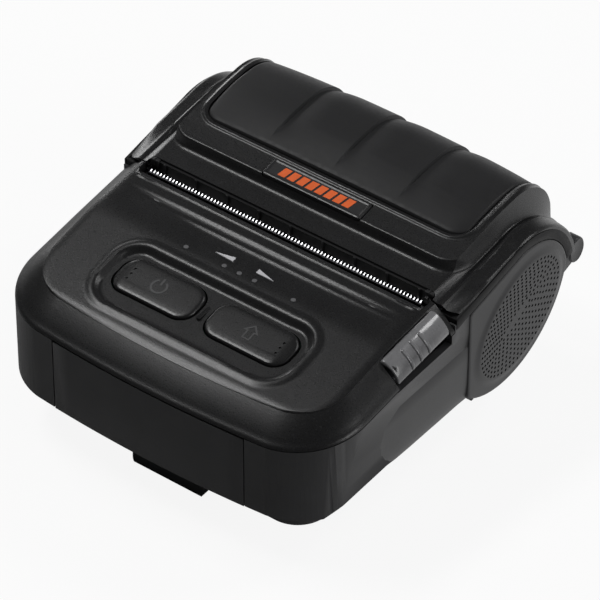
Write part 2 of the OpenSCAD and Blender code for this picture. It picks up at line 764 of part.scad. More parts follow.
module battery_case() {
  color([0.16, 0.16, 0.17]) at_slot() difference() {
    union() {
      intersection() {
        linear_extrude(60) case_plan(0, battery_back);
        block([-battery_w / 2, battery_w / 2], [-panel_l - 1, -panel_l + 3.3],
              [rim_z - 0.2, seam_z - 0.3]);
      }
      block([-battery_w / 2, battery_w / 2], [-panel_l + 3.2, battery_back], [battery_z, battery_top]);
    }
    for (y = cell_y) along_x(-battery_w / 2 + 3, battery_w / 2 - 3) disc_at([y, cell_z], cell_d / 2 + 0.1);
    block([-8.3, 8.3], [-panel_l + 5, -panel_l + 9.6], [0, battery_z + 1.6]);
  }
}
cell_z = battery_z + (battery_top - battery_z) / 2;
cell_y = [-panel_l + 4.2 + 1.2 + cell_d / 2, battery_back - 1.8 - cell_d / 2];
module battery_cells() {
  color([0.2, 0.4, 0.75]) at_slot() for (y = cell_y)
    along_x(-battery_w / 2 + 3.2, battery_w / 2 - 3.2) disc_at([y, cell_z], cell_d / 2);
}
module battery_catch() {
  color([0.07, 0.07, 0.07]) at_slot()
    block([-8, 8], [-panel_l + 5.3, -panel_l + 7.4], [1.4, battery_z + 1.5]);
}

// Front part of the pad's crown, before it turns into the arc
function pad_line(i) = [for (p = pad_rise) p - [0, i]];

// Side view of the raised middle of the lid
module lid_view(i) {
  polygon(concat(
    [[lip_y + i, 33], [lip_y + i, 38.6 - i], [lip_y + 0.6 + i, 39.1 - i], [8.2 + i, 39.6 - i],
     [9.8 + i, 42.1 - i], [17.4 + i / 2, 43.3 - i]],
    pad_line(i), arc(lid_arc, lid_r - i, 98, -12, 24),
    [[hinge[0] + barrel_r - i, hinge[1] + 4], [hinge[0] + barrel_r - i, hinge[1]], [12, 12]]
  ));
}
module arch_view(c, r, front, z0, i) {
  polygon(concat([[front + i, 20], [front + i, z0 - i], [c[0] - 17, c[1] + r - 1.9 - i]],
                 arc(c, r - i, 102, 0, 24), [[c[0] + r - i, hinge[1]], [12, 12]]));
}
module lid_side_form(i) {
  hull() {
    along_x(-half_w + shoulder + i, half_w - shoulder - i)
      arch_view(shoulder_arc, shoulder_r, lid_front, panel_h - 0.4, i);
    along_x(-half_w + i, half_w - i) arch_view(cheek_arc, cheek_r, lid_front, seam_at(0) + 2.8, i);
  }
}

module paper_lid() {
  post = [barrel_half - 0.1, barrel_half + barrel_l + 0.7];
  color([0.09, 0.09, 0.1]) at_slot() difference() {
    union() {
      difference() {
        union() {
          difference() {
            lid_side_form(0);
            block([-slot_w / 2, slot_w / 2], [-5, lip_y], [0, 60]);
            block([-half_w, half_w], [lid_back, 70], [0, 80]);
          }
          along_x(-pad_half, pad_half) lid_view(0);
        }
        intersection() {
          lid_side_form(wall);
          block([-half_w, half_w], [lip_y + wall, lid_back - wall], [0, 80]);
        }
        along_x(-pad_half + wall, pad_half - wall) lid_view(wall);
        along_x(-half_w - 1, half_w + 1) below_lid();
      }
      along_x(-barrel_half, barrel_half) {
        disc_at(hinge, barrel_r);
        translate(hinge) square([barrel_r, 4]);
      }
    }
    // Room for the platen, the hinge posts and the strap ears
    along_x(-mech_half - 0.6, mech_half + 0.6) disc_at(platen, platen_r + 0.6);
    both_sides() along_x(post[0], post[1]) {
      disc_at(hinge, barrel_r + 0.7);
      translate(hinge - [4, 6]) square([8, 6]);
    }
    both_sides() block([bay_mouth - 0.5, half_w + 1], [hinge[1] + 26, 70], [0, hinge[1] + 2.6]);
    // Seat of the glossy inset panel
    along_x(-inset_half - seam_gap, inset_half + seam_gap) inset_seat();
    along_x(-half_w, half_w) disc_at(hinge, hinge_r + run_gap);
    block([-15.5, 15.5], plate_y + [-0.4, 0.4], [41, 44]);
    // Channel of the platen's bracket, and room for its gear
    block([-ear_x + 0.2, ear_x - 0.2], [4.7, 10.9], [0, platen[1] + platen_r + 1.35]);
    both_sides() block([ear_x - 0.3, ear_x + ear_t + 0.3], [3.5, 10.9], [0, platen[1] + platen_r + 1.35]);
    along_x(-gear_x - gear_w - 0.4, -ear_x) disc_at(platen, platen_teeth * gear_module / 2 + 0.85);
  }
}
// All that lies below the lid's seam, with the seam's gap
module below_lid() {
  knee = arch + (arch_r + seam_gap) * [-sin(arch_tilt), cos(arch_tilt)];
  polygon(concat(
    [[-9, 0], [-9, knee[1] - (knee[0] + 9) * tan(arch_tilt)]],
    arc(arch, arch_r + seam_gap, 90 + arch_tilt, 0, 24),
    [[arch[0] + arch_r + seam_gap, hinge[1]], [80, hinge[1]], [80, 0]]
  ));
}

// Side view of the inset panel's seat, and of the panel itself
inset_front = 18;
inset_end = 16;
module inset_seat() {
  polygon(concat([[inset_front - 0.3, 60], [inset_front - 0.3, 42.5]], pad_line(0.9),
                 arc(lid_arc, lid_r - 0.9, 98, inset_end, 24),
                 [[70, lid_arc[1] + (lid_r - 0.9) * sin(inset_end)], [70, 60]]));
}
module inset_solid() {
  under = pad_line(0.8);
  polygon(concat([[inset_front, 42.65], [inset_front + 0.2, 43.7], [inset_front + 1.6, 44.6]], inset_top(0),
                 arc(lid_arc, lid_r - 0.8, inset_end + 1.5, 98, 24), [for (i = [2:-1:0]) under[i]]));
}
// Crown of the inset panel, lowered by d
function inset_top(d) =
  concat([[22.6, 45.7 - d], [27.6, 46.9 - d], [32.6, 47.25 - d]],
         arc(inset_arc, inset_r - d, 92, inset_end + 6, 24));
module lid_inset_panel() {
  grooves = [-19.6, 0, 19.6];
  color([0.03, 0.03, 0.035]) at_slot() difference() {
    intersection() {
      along_x(-inset_half, inset_half) inset_solid();
      translate([0, inset_front + 20, 20]) linear_extrude(40) round_rect(2 * inset_half, 40, 5);
    }
    for (x = grooves) along_x(x - 0.4, x + 0.4)
      polygon(concat([[20.6, 60], [20.6, 45.2]], inset_top(0.6), [[70, 37], [70, 60]]));
  }
}
plate_y = [9.9, 15.7];
module name_plate() {
  color([0.14, 0.14, 0.15]) at_slot() translate([0, (plate_y[0] + plate_y[1]) / 2, 42.42])
    rotate([8.5, 0, 0]) translate([0, 0, -0.75]) linear_extrude(1.55)
      round_rect(30, plate_y[1] - plate_y[0], 0.6);
}

// Strip of dark paper guides along the lip, and its bright end blocks
module lip_guide() {
  ribs = 8;
  rib_step = (slot_w - 8) / ribs;
  color([0.05, 0.05, 0.05]) at_slot() {
    block([-slot_w / 2 + 0.5, slot_w / 2 - 0.5], [lip_y - 0.65, lip_y - 0.02], [36, 38.4]);
    for (i = [0:ribs]) translate([-slot_w / 2 + 4 + i * rib_step, 0, 0])
      block([-0.35, 0.35], [lip_y - 1.1, lip_y - 0.6], [36, 38.4]);
  }
}

module button_body(inner) {
  difference() {
    union() {
      translate([0, 0, -2]) linear_extrude(1.5 + button_proud)
        round_rect(button_size[0], button_size[1], 3.9);
      translate([0, 0, -2]) linear_extrude(2 + button_proud)
        round_rect(button_size[0] - 1.4, button_size[1] - 1.4, 3.2);
    }
    for (i = [-1:1]) translate([inner * (button_size[0] / 2 - 3.4), i * 1.9, button_proud - 0.3])
      cylinder(r = 0.35, h = 1, $fn = 16);
  }
  translate([0, 0, -(panel_z(button_y) - board_z - board_t - 3) + 0.45 + button_travel])
    cylinder(r = 1.6, h = 3);
}
module power_button() {
  color([0.08, 0.08, 0.09]) at_slot() on_panel(-button_x, button_y) button_body(-1);
}
module feed_button() {
  color([0.08, 0.08, 0.09]) at_slot() on_panel(button_x, button_y) button_body(1);
}

module release_latch() {
  ridges = 3;
  ridge_step = 3.4;
  mid = (latch_y[0] + latch_y[1]) / 2 - 1;
  color([0.45, 0.46, 0.48]) at_slot() {
    latch_turn() {
      along_y(latch_y[0], latch_y[1]) latch_section(1.8);
      for (i = [0:ridges - 1]) translate([0, mid + (i - 1) * ridge_step, 0]) along_y(-0.4, 0.4)
        polygon([[half_w - 3.8, panel_h - 2.2], [half_w - 1.6, panel_h - 2.8], [half_w, latch_low + 1.8],
                 [half_w, latch_low + 0.3], [half_w - 1.6, latch_low + 0.3]]);
    }
    // Leg that presses on the hook's arm
    leg_y = [hook[0] - hook_arm - 0.7, hook[0] - hook_arm + 0.7];
    block([hook_x + 0.1, hook_x + 1.3], leg_y, [hook[1] + 1.9, 35]);
    block([hook_x + 0.1, half_w - 1.6], leg_y, [32.6, 34.2]);
  }
}
module latch_hook() {
  color([0.62, 0.63, 0.65]) at_slot() along_x(hook_x, hook_x + 1.4) difference() {
    union() {
      disc_at(hook, 2.6);
      disc_at(hook - [hook_arm, 0], 1.6);
      translate(hook - [hook_arm, 1.6]) square([hook_arm, 3.2]);
      polygon([hook + [-2.4, 0], hook + [2.4, -0.6], [4.7, 29.4], [4.7, 32], [2.6, 32.6], [1.6, 30]]);
    }
    disc_at(hook, 1.2 + run_gap);
  }
}
module latch_spring() {
  color([0.8, 0.8, 0.82]) at_slot() translate([latch_spring_c[0], latch_spring_c[1], latch_spring_z])
    cylinder(r = 1.3, h = 32.3 - latch_spring_z);
}
latch_spring_c = [half_w - 4, -20.2];
latch_spring_z = 24;

module clip_base() {
  color([0.06, 0.06, 0.065]) at_slot() difference() {
    union() {
      block([-clip_w / 2 + 1.4, clip_w / 2 - 1.4], [clip_pin_c[0] + 4.6, -23], [-2.4, 0]);
      along_x(-clip_knuckle, clip_knuckle) {
        disc_at(clip_pin_c, 2.6);
        polygon([clip_pin_c + [-1.6, 2], [clip_pin_c[0] - 1.6, 0], [clip_pin_c[0] + 6, 0],
                 [clip_pin_c[0] + 6, -2.4], clip_pin_c + [2.4, -1]]);
      }
    }
    along_x(-clip_w, clip_w) disc_at(clip_pin_c, clip_pin_r);
    for (y = clip_screw_y) translate([0, y, -3]) {
      cylinder(r = 1.2, h = 4);
      cylinder(r = 2.1, h = 1.9);
    }
  }
}
module belt_clip() {
  low = -clip_drop;
  color([0.04, 0.04, 0.045]) at_slot() difference() {
    intersection() {
      union() {
        along_x(-clip_w / 2, clip_w / 2) {
          polygon([[clip_front + 1.6, low], [clip_back - 2, low], [clip_back, low + 1.4],
                   [clip_back, low + 6], [clip_back - 1.6, -0.4], [clip_back - 3.4, -0.4],
                   [clip_back - 4.4, low + clip_t],
                   [clip_front + 8.6, low + clip_t], [clip_front + 7.4, low + 5], [clip_front + 7.4, -2.6],
                   [clip_front + 5.6, -0.9], [clip_front + 2.2, -0.9], [clip_front, -3.2],
                   [clip_front, low + 1.6]]);
        }
      }
      along_y(clip_front - 1, clip_back + 1) translate([0, low + 10]) round_rect(clip_w, 20, 3);
    }
    along_x(-clip_knuckle - 0.4, clip_knuckle + 0.4) {
      disc_at(clip_pin_c, 3.1);
      polygon([clip_pin_c + [-2.6, 0], clip_pin_c + [-2.6, 9], clip_pin_c + [9, 9], clip_pin_c + [9, -2.6],
               clip_pin_c + [2, -2.6]]);
    }
    along_x(-clip_w, clip_w) disc_at(clip_pin_c, clip_pin_r + run_gap);
  }
}
module clip_pin() {
  color([0.7, 0.7, 0.72]) at_slot()
    along_x(-clip_w / 2 + 1.2, clip_w / 2 - 1.2) disc_at(clip_pin_c, clip_pin_r);
}
module clip_spring() {
  color([0.8, 0.8, 0.82]) at_slot() difference() {
    translate([0, clip_pin_c[0] + 7.2, -3.2]) rotate([0, 90, 0]) cylinder(r = 0.75, h = 7, center = true);
    block([-5, 5], [-60, 0], [-2.45, 0]);
  }
}
module clip_screws() {
  color([0.6, 0.6, 0.62]) at_slot() for (y = clip_screw_y) translate([0, y, -2.35]) {
    cylinder(r = 2, h = 1.2);
    cylinder(r = 1, h = 5);
  }
}

lower_case();
front_cover();
bottom_plate();
rubber_feet();
side_cap_right();
side_cap_left();
tear_bar();
print_head();
head_heat_sink();
head_bracket();
head_springs();
frame_left();
frame_right();
gear_stud();
stepper_motor();
roll_tray();
paper_sensor();
main_board();
button_switches();
light_pipes();
radio_module();
head_cable();
buzzer();
battery_contacts();
port_board();
charge_socket();
data_socket();
port_flap();
lid_hinge_pin();
strap_bar();
case_screws();
latch_spring();
hook_stud();
battery_case();
battery_cells();
battery_catch();
paper_lid();
lid_inset_panel();
name_plate();
lip_guide();
platen_bracket();
platen_bushes();
platen_roller();
platen_shaft();
platen_gear();
idler_gear();
motor_pinion();
power_button();
feed_button();
release_latch();
latch_hook();
clip_base();
belt_clip();
clip_pin();
clip_spring();
clip_screws();
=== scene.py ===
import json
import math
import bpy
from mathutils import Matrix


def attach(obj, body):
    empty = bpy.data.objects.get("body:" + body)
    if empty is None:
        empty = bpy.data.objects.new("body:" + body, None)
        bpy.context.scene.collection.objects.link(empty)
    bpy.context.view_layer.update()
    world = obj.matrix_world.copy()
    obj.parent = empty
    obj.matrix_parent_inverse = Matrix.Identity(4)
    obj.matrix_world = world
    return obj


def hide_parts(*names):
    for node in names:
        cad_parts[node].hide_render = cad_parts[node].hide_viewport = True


bl_info = {
    "name": "Portable label printer",
    "version": (1, 0, 0),
    "blender": (4, 5, 0),
    "location": "3D View > Sidebar > Printer",
    "description": "Models and finishes a belt-worn label printer over its CAD frame",
    "category": "Object",
}

from bisect import bisect

import bpy
from mathutils import Matrix, Vector

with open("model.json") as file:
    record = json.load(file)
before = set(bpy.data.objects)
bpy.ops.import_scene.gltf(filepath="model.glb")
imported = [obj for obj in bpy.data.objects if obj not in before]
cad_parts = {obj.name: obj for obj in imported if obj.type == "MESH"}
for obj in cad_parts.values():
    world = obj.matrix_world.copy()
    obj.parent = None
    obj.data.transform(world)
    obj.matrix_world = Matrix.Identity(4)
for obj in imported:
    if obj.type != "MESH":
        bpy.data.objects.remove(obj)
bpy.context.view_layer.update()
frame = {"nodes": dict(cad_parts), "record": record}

# Lengths in this file are millimetres from the paper slot, as in the part's source.
# SLOT is the slot's place in the frame, in metres.
SLOT = Vector((0.0, -0.0026, 0.011))
HALF = 51.2
FRONT = -56.6
CORNER = 19.0
BOW = 1.357
SHOULDER = 6.1
WALL = 2.0
LAMP_Y = -18.8
PANEL_H = 38.2
PANEL_TILT = 10.0
LAMPS = (-16.45, -4.65, 0.0, 4.65, 16.45)
LAMP_RADIUS = 0.72
KEY_X = 14.2
KEY_Y = -32.5
# Centres of the lid's hinge and of the platen, as (y, z)
HINGE = (49.9, 19.6)
PLATEN = (7.2, 30.6)
LATCH_LENGTH = (-22.7, -2.0)


def tan(degrees):
    return math.tan(math.radians(degrees))


def ease(t):
    """0 to 1 with soft ends"""
    t = min(1.0, max(0.0, t))
    return t * t * (3.0 - 2.0 * t)


def blend(a, b, t):
    return a + (b - a) * t


def along(points, x):
    """The height at x of a line through points that are sorted by x"""
    k = min(max(bisect(points, (x, math.inf)), 1), len(points) - 1)
    (x0, y0), (x1, y1) = points[k - 1], points[k]
    t = (x - x0) / (x1 - x0) if x1 > x0 else 0.0
    return blend(y0, y1, min(1.0, max(0.0, t)))


def arc(centre, radius, first, last, steps):
    out = []
    for i in range(steps + 1):
        a = math.radians(blend(first, last, i / steps))
        out.append((centre[0] + radius * math.cos(a), centre[1] + radius * math.sin(a)))
    return out


def circle(centre, radius, steps):
    return arc(centre, radius, 0, 360, steps)[:-1]


def rounded(width, length, radius, centre=(0.0, 0.0), steps=8):
    """Outline of a rectangle with round corners, anticlockwise"""
    x, y = width / 2 - radius, length / 2 - radius
    out = []
    for sx, sy, a in ((1, 1, 0), (-1, 1, 90), (-1, -1, 180), (1, -1, 270)):
        out += arc((centre[0] + sx * x, centre[1] + sy * y), radius, a, a + 90, steps)
    return out


def inside(x, y, half_x, half_y, radius):
    """Distance from a point in to the edge of a rounded rectangle round the origin"""
    qx, qy = abs(x) - half_x + radius, abs(y) - half_y + radius
    return radius - math.hypot(max(qx, 0.0), max(qy, 0.0)) - min(max(qx, qy), 0.0)


# Making and shaping


def start():
    if bpy.context.object and bpy.context.object.mode != "OBJECT":
        bpy.ops.object.mode_set(mode="OBJECT")
    bpy.ops.object.select_all(action="DESELECT")


def take(ob):
    start()
    ob.select_set(True)
    bpy.context.view_layer.objects.active = ob


def edit(ob):
    take(ob)
    bpy.ops.object.mode_set(mode="EDIT")
    bpy.ops.mesh.select_mode(type="VERT")
    bpy.ops.mesh.select_all(action="SELECT")


def leave():
    bpy.ops.object.mode_set(mode="OBJECT")


def outward(ob):
    edit(ob)
    bpy.ops.mesh.normals_make_consistent(inside=False)
    leave()
    return ob


def prism(name, points, axis, low, high):
    """An outline drawn square to an axis and extruded along it"""
    start()
    bpy.ops.mesh.primitive_circle_add(vertices=len(points), radius=1, fill_type="NGON")
    ob = bpy.context.object
    ob.name = name
    for vertex, (a, b) in zip(ob.data.vertices, points):
        vertex.co = {"X": (low, a, b), "Y": (a, low, b), "Z": (a, b, low)}[axis]
    edit(ob)
    step = [high - low if axis == k else 0.0 for k in "XYZ"]
    bpy.ops.mesh.extrude_region_move(TRANSFORM_OT_translate={"value": step})
    leave()
    return outward(ob)


def box(name, x, y, z):
    return prism(name, [(x[0], y[0]), (x[1], y[0]), (x[1], y[1]), (x[0], y[1])], "Z", *z)


def sheet(name, columns, rows, place, merge=0.004, closed=True):
    """A grid whose points are put in place, with its seams merged and its open ends filled"""
    start()
    bpy.ops.mesh.primitive_grid_add(x_subdivisions=columns - 1, y_subdivisions=rows - 1, size=2)
    ob = bpy.context.object
    ob.name = name
    for vertex in ob.data.vertices:
        i = round((vertex.co.x + 1) / 2 * (columns - 1))
        j = round((vertex.co.y + 1) / 2 * (rows - 1))
        vertex.co = place(i, j)
    return sealed(ob, merge) if closed else ob


def sealed(ob, merge=0.004):
    """Merges what meets, fills what is open and turns the faces outwards"""
    edit(ob)
    bpy.ops.mesh.remove_doubles(threshold=merge)
    bpy.ops.mesh.dissolve_degenerate(threshold=merge / 4)
    bpy.ops.mesh.select_all(action="DESELECT")
    bpy.ops.mesh.select_non_manifold(
        extend=False, use_wire=False, use_boundary=True, use_multi_face=False,
        use_non_contiguous=False, use_verts=False)
    bpy.ops.mesh.fill_holes(sides=0)
    leave()
    return outward(ob)


def tube(name, rings):
    """A closed form through rings of points, with both ends filled"""
    count = len(rings[0])
    return sheet(name, count + 1, len(rings), lambda i, j: rings[j][i % count])


def combine(ob, other, how="DIFFERENCE"):
    take(ob)
    step = ob.modifiers.new("step", "BOOLEAN")
    step.operation = how
    step.solver = "EXACT"
    step.object = other
    bpy.ops.object.modifier_apply(modifier=step.name)
    bpy.data.objects.remove(other)
    return ob


def cut(ob, *others):
    for other in others:
        combine(ob, other)
    return ob


def together(*obs):
    start()
    for ob in obs:
        ob.select_set(True)
    bpy.context.view_layer.objects.active = obs[0]
    bpy.ops.object.join()
    return bpy.context.object


def soften(ob, width, segments=3, angle=40.0, clamp=False):
    take(ob)
    step = ob.modifiers.new("step", "BEVEL")
    step.width = width
    step.segments = segments
    step.limit_method = "ANGLE"
    step.angle_limit = math.radians(angle)
    step.use_clamp_overlap = clamp
    bpy.ops.object.modifier_apply(modifier=step.name)
    return ob


def move(ob, matrix):
    ob.data.transform(matrix)
    return ob


def mirrored(ob, name):
    """A copy with its own mesh on the other side of the middle"""
    take(ob)
    bpy.ops.object.duplicate()
    copy = bpy.context.object
    copy.name = name
    edit(copy)
    bpy.ops.transform.resize(value=(-1, 1, 1), center_override=(0, 0, 0))
    bpy.ops.mesh.normals_make_consistent(inside=False)
    leave()
    return copy


def rod(name, centre, radius, low, high, edge=0.3, steps=40):
    """A round bar along X with softened ends, round a (y, z) centre"""
    levels = [(0.0, edge), (edge * 0.3, edge * 0.3), (edge, 0.0)]
    rings = []
    for back, give in levels:
        rings.append([(low + back, y, z) for y, z in circle(centre, radius - give, steps)])
    for back, give in reversed(levels):
        rings.append([(high - back, y, z) for y, z in circle(centre, radius - give, steps)])
    return tube(name, rings)


def drop_in(name, outline, levels):
    """Upright form through outline(inset) at each (inset, height), bottom first"""
    return tube(name, [[(x, y, z) for x, y in outline(inset)] for inset, z in levels])


def finish(ob, name, material, body, slot, nodes=(), angle=35.0):
    """Cleans a piece, puts it in the frame and gives it its body and material"""
    edit(ob)
    bpy.ops.mesh.remove_doubles(threshold=0.001)
    bpy.ops.mesh.delete_loose()
    leave()
    take(ob)
    bpy.ops.object.transform_apply(location=True, rotation=True, scale=True)
    ob.data.transform(Matrix.Translation(SLOT) @ Matrix.Scale(0.001, 4))
    ob.name = name
    ob.data.name = name
    bpy.ops.object.shade_smooth_by_angle(angle=math.radians(angle))
    ob.data.materials.clear()
    ob.data.materials.append(material)
    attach(ob, body)
    if nodes:
        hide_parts(*nodes)
    return ob


# Materials


class Wire:
    """One socket of a material, on which arithmetic adds Math nodes"""

    def __init__(self, shade, socket):
        self.shade = shade
        self.socket = socket

    def math(self, how, *others):
        return self.shade.node("ShaderNodeMath", {"operation": how}, [self, *others])

    def __add__(self, other):
        return self.math("ADD", other)

    def __sub__(self, other):
        return self.math("SUBTRACT", other)

    def __mul__(self, other):
        return self.math("MULTIPLY", other)

    def __truediv__(self, other):
        return self.math("DIVIDE", other)

    def __rsub__(self, other):
        return self.shade.node("ShaderNodeMath", {"operation": "SUBTRACT"}, [other, self])

    __radd__ = __add__
    __rmul__ = __mul__

    def step(self, low, high, start=0.0, end=1.0):
        """A soft step from start to end as the value goes from low to high"""
        return self.shade.node(
            "ShaderNodeMapRange", {"interpolation_type": "SMOOTHSTEP"}, [self, low, high, start, end])

    def part(self, axis):
        return self.shade.node("ShaderNodeSeparateXYZ", {}, [self], out="XYZ".index(axis))


class Shade:
    """A material under construction: its nodes and its surface shader"""

    def __init__(self, name):
        self.material = bpy.data.materials.new(name)
        self.material.use_nodes = True
        self.tree = self.material.node_tree
        self.surface = self.tree.nodes["Principled BSDF"]

    @classmethod
    def over(cls, tree):
        """The same helpers on a node tree that isn't a material's"""
        shade = cls.__new__(cls)
        shade.tree = tree
        return shade

    def node(self, kind, settings, inputs, out=0):
        new = self.tree.nodes.new(kind)
        for key, value in settings.items():
            if key == "stops":
                ramp = new.color_ramp
                for at, colour in value[2:]:
                    ramp.elements.new(at)
                for element, (at, colour) in zip(ramp.elements, value):
                    element.position = at
                    element.color = colour
            else:
                setattr(new, key, value)
        pairs = inputs.items() if isinstance(inputs, dict) else enumerate(inputs)
        for key, value in pairs:
            if isinstance(value, Wire):
                self.tree.links.new(value.socket, new.inputs[key])
            else:
                new.inputs[key].default_value = value
        return Wire(self, new.outputs[out])

    def place(self):
        """Object coordinates in millimetres from the paper slot"""
        spot = self.node("ShaderNodeTexCoord", {}, [], out=3)
        spot = self.node("ShaderNodeVectorMath", {"operation": "SUBTRACT"}, [spot, SLOT])
        return self.node("ShaderNodeVectorMath", {"operation": "SCALE"}, {0: spot, "Scale": 1000.0})

    def noise(self, spot, per_mm, detail=2.0, rough=0.5):
        return self.node("ShaderNodeTexNoise", {}, {
            "Vector": spot, "Scale": per_mm, "Detail": detail, "Roughness": rough})

    def mix(self, factor, a, b):
        return self.node("ShaderNodeMix", {"data_type": "RGBA"}, {0: factor, 6: a, 7: b}, out=2)

    def bump(self, height, depth, strength=1.0):
        """A bump whose height is in units of depth, in millimetres"""
        return self.node("ShaderNodeBump", {}, {
            "Strength": strength, "Distance": depth * 0.001, "Height": height})

    def set(self, **values):
        for key, value in values.items():
            socket = self.surface.inputs[key.replace("_", " ")]
            if isinstance(value, Wire):
                self.tree.links.new(value.socket, socket)
            else:
                socket.default_value = value
        return self.material


def grey(level, blue=1.04):
    return (level, level, level * blue, 1.0)


def moulded(name, level, rough, grain=0.012, pitch=0.28, shine=0.4):
    """Moulded plastic with an even grain and faint cloudiness"""
    shade = Shade(name)
    spot = shade.place()
    cloud = shade.noise(spot, 0.07, 3.0)
    fine = shade.noise(spot, 1.0 / pitch, 2.0, 0.6)
    tone = shade.mix(cloud.step(0.3, 0.7), grey(level * 0.92), grey(level * 1.08))
    return shade.set(
        Base_Color=tone, Roughness=fine.step(0.2, 0.8, rough - 0.05, rough + 0.05),
        Normal=shade.bump(fine, grain), Specular_IOR_Level=shine)


def metal(name, colour, rough, brushed="", depth=0.004):
    """Bare metal, with fine lines square to the brushed axis"""
    shade = Shade(name)
    spot = shade.place()
    stretch = {"": (4.0, 4.0, 4.0), "X": (0.3, 14.0, 14.0), "Y": (14.0, 0.3, 14.0), "Z": (14.0, 14.0, 0.3)}
    lines = shade.node("ShaderNodeVectorMath", {"operation": "MULTIPLY"}, [spot, stretch[brushed]])
    scratch = shade.noise(lines, 1.0, 3.0, 0.6)
    cloud = shade.noise(spot, 0.4, 3.0)
    dark = tuple(c * 0.82 for c in colour) + (1.0,)
    tone = shade.mix(cloud.step(0.35, 0.65), dark, tuple(colour) + (1.0,))
    return shade.set(
        Base_Color=tone, Metallic=1.0, Roughness=scratch.step(0.25, 0.75, rough - 0.06, rough + 0.08),
        Normal=shade.bump(scratch, depth))


# Front cover


def plan(inset, count):
    """Outline of the cover from the left rear corner round the front to the right rear one"""
    side, corner, face = count
    half = HALF - inset
    reach = HALF - CORNER
    radius = CORNER - inset
    front = FRONT + 1.23 * inset
    mid = front + BOW + radius
    bow = radius + (reach * reach + BOW * BOW) / (2 * BOW)
    turn = math.degrees(math.asin(reach / (bow - radius)))
    right = [(half, blend(0.0, mid, i / side)) for i in range(side)]
    right += arc((reach, mid), radius, 0, turn - 90, corner)[:-1]
    right += arc((0, front + bow), bow, turn - 90, -90, face // 2)
    return [(-x, y) for x, y in right] + right[-2::-1]


def plane(y):
    """Height of the button panel's plain surface"""
    t = LAMP_Y - y
    bent = t if t > 3 else 0.0 if t < -3 else (t + 3) ** 2 / 12
    return PANEL_H + y * tan(3.5) - bent * (tan(PANEL_TILT) - tan(3.5))


def seam(y):
    return 25.4 + (y + 56.6) * tan(6)


def well(x, y):
    """Bead round the button well, and the fall to its floor"""
    y += 33.25
    d = inside(x, y, 32.0, 12.45, 9.5)
    wide = 3.9 + (0.7 if y > 0 else -0.5) * ease(abs(y) / 12 - max(0.0, abs(x) - 20) / 12)
    if d <= 0:
        return 0.0
    if d < 2.2:
        return 0.34 * ease(d / 1.5)
    return blend(0.34, -0.95 - 0.035 * y, ease((d - 2.2) / (wide - 2.2)))


def panel(x, y, edge=9.0):
    """Height of the button panel, edge being the distance in from its rim"""
    z = plane(y) + well(x, y)
    lens = max(0.0, 1.0 - (x / 41.5) ** 2)
    deep = 0.4 * ease((-7.8 - y) / 1.1) + 0.3 * ease((x + 30) / 14) * ease((-10.2 - y) / 1.3)
    z -= lens ** 0.6 * deep * (1.0 - ease((-12.2 - y) / 7.5))
    if abs(y + 9.6) < 0.45:
        z -= 0.12 * min(1.0, 3 * lens) * (1 - abs(y + 9.6) / 0.45)
    if -5.4 < y < -4.4 and abs(x) < 43.5:
        z += 0.19 * math.sin(math.pi * (y + 5.4)) ** 2 * ease((43.5 - abs(x)) / 1.5)
    if edge < 2.4:
        z -= 0.3 * (2.4 - edge) ** 2 / 4.8
    return z


def rise(a):
    """Share of the way up the shoulder at a distance in from the side"""
    t = min(1.0, a / SHOULDER)
    return 0.55 * t + 0.45 * (1.0 - (1.0 - 0.8 * t) ** 2) ** 0.62 / 0.975


def cover_form(name, wall, rear, fine):
    """Closed form of the cover, drawn in by its wall; the fine one has the panel's details"""
    count = (96, 40, 150) if fine else (6, 16, 20)
    shares = (0, .004, .02, .045, .08, .12, .17, .23, .3, .38, .47, .56, .66, .76, .86, .94, 1.0)
    levels = [SHOULDER * t for t in (shares if fine else (0, .02, .08, .2, .4, .7, 1.0))]
    lines = [plan(a + wall, count) for a in levels]
    last = len(lines[0]) - 1
    for line in lines:
        line[0] = (line[0][0], rear)
        line[-1] = (line[-1][0], rear)
    drop = 0.5 if fine else wall
    foot = 0.0 if fine else wall
    # The fine form stands on a small recess, which reads as a dark seam over the case
    recess = plan(0.42 + wall, count)
    recess[0], recess[-1] = (recess[0][0], rear), (recess[-1][0], rear)
    steps = (0.3, 0.0) if fine else ()

    def band(i, j):
        if j == 0:
            x, y = lines[-1][i]
            return x, y, panel(x, y, 0.0) if fine else plane(y) - wall
        if j <= len(levels):
            a, (x, y) = levels[-j], lines[-j][i]
            lift = 0.34 * (1.0 - ease(a / 1.2)) if fine else 0.0
            return x, y, blend(seam(y) - foot, plane(y) - drop, rise(a)) + lift
        if j <= len(levels) + len(steps):
            x, y = recess[i]
            return x, y, seam(y) + steps[j - len(levels) - 1]
        return 0.0, rear, seam(rear) - foot

    # The flat top is a patch stretched between four stretches of the innermost line
    line = lines[-1]
    quarter = count[0] + count[1] // 2
    left, front, right = line[quarter::-1], line[quarter:last - quarter + 1], line[last - quarter:]
    columns, rows = len(front) - 1, quarter

    def top(i, j):
        u, v = i / columns, j / rows
        point = []
        for k in (0, 1):
            back = blend(line[0][k], line[-1][k], u)
            sides = blend(left[j][k], right[j][k], u)
            corners = blend(blend(left[0][k], right[0][k], u), blend(left[-1][k], right[-1][k], u), v)
            point.append(blend(front[i][k], back, v) + sides - corners)
        x, y = point
        if not fine:
            return x, y, plane(y) - wall
        edge = min(45.1 - abs(x), y + 49.1 - 1.4 * (x / 45.1) ** 2)
        if y < -30:
            edge = min(edge, 12.9 - math.hypot(max(0.0, abs(x) - 32.2), max(0.0, -36.2 - y)))
        return x, y, panel(x, y, 0.0 if i in (0, columns) or j == 0 else max(0.0, edge))

    shell = sheet(name, last + 1, len(levels) + len(steps) + 2, band, closed=False)
    return sealed(together(shell, sheet(name + "_top", columns + 1, rows + 1, top, closed=False)))


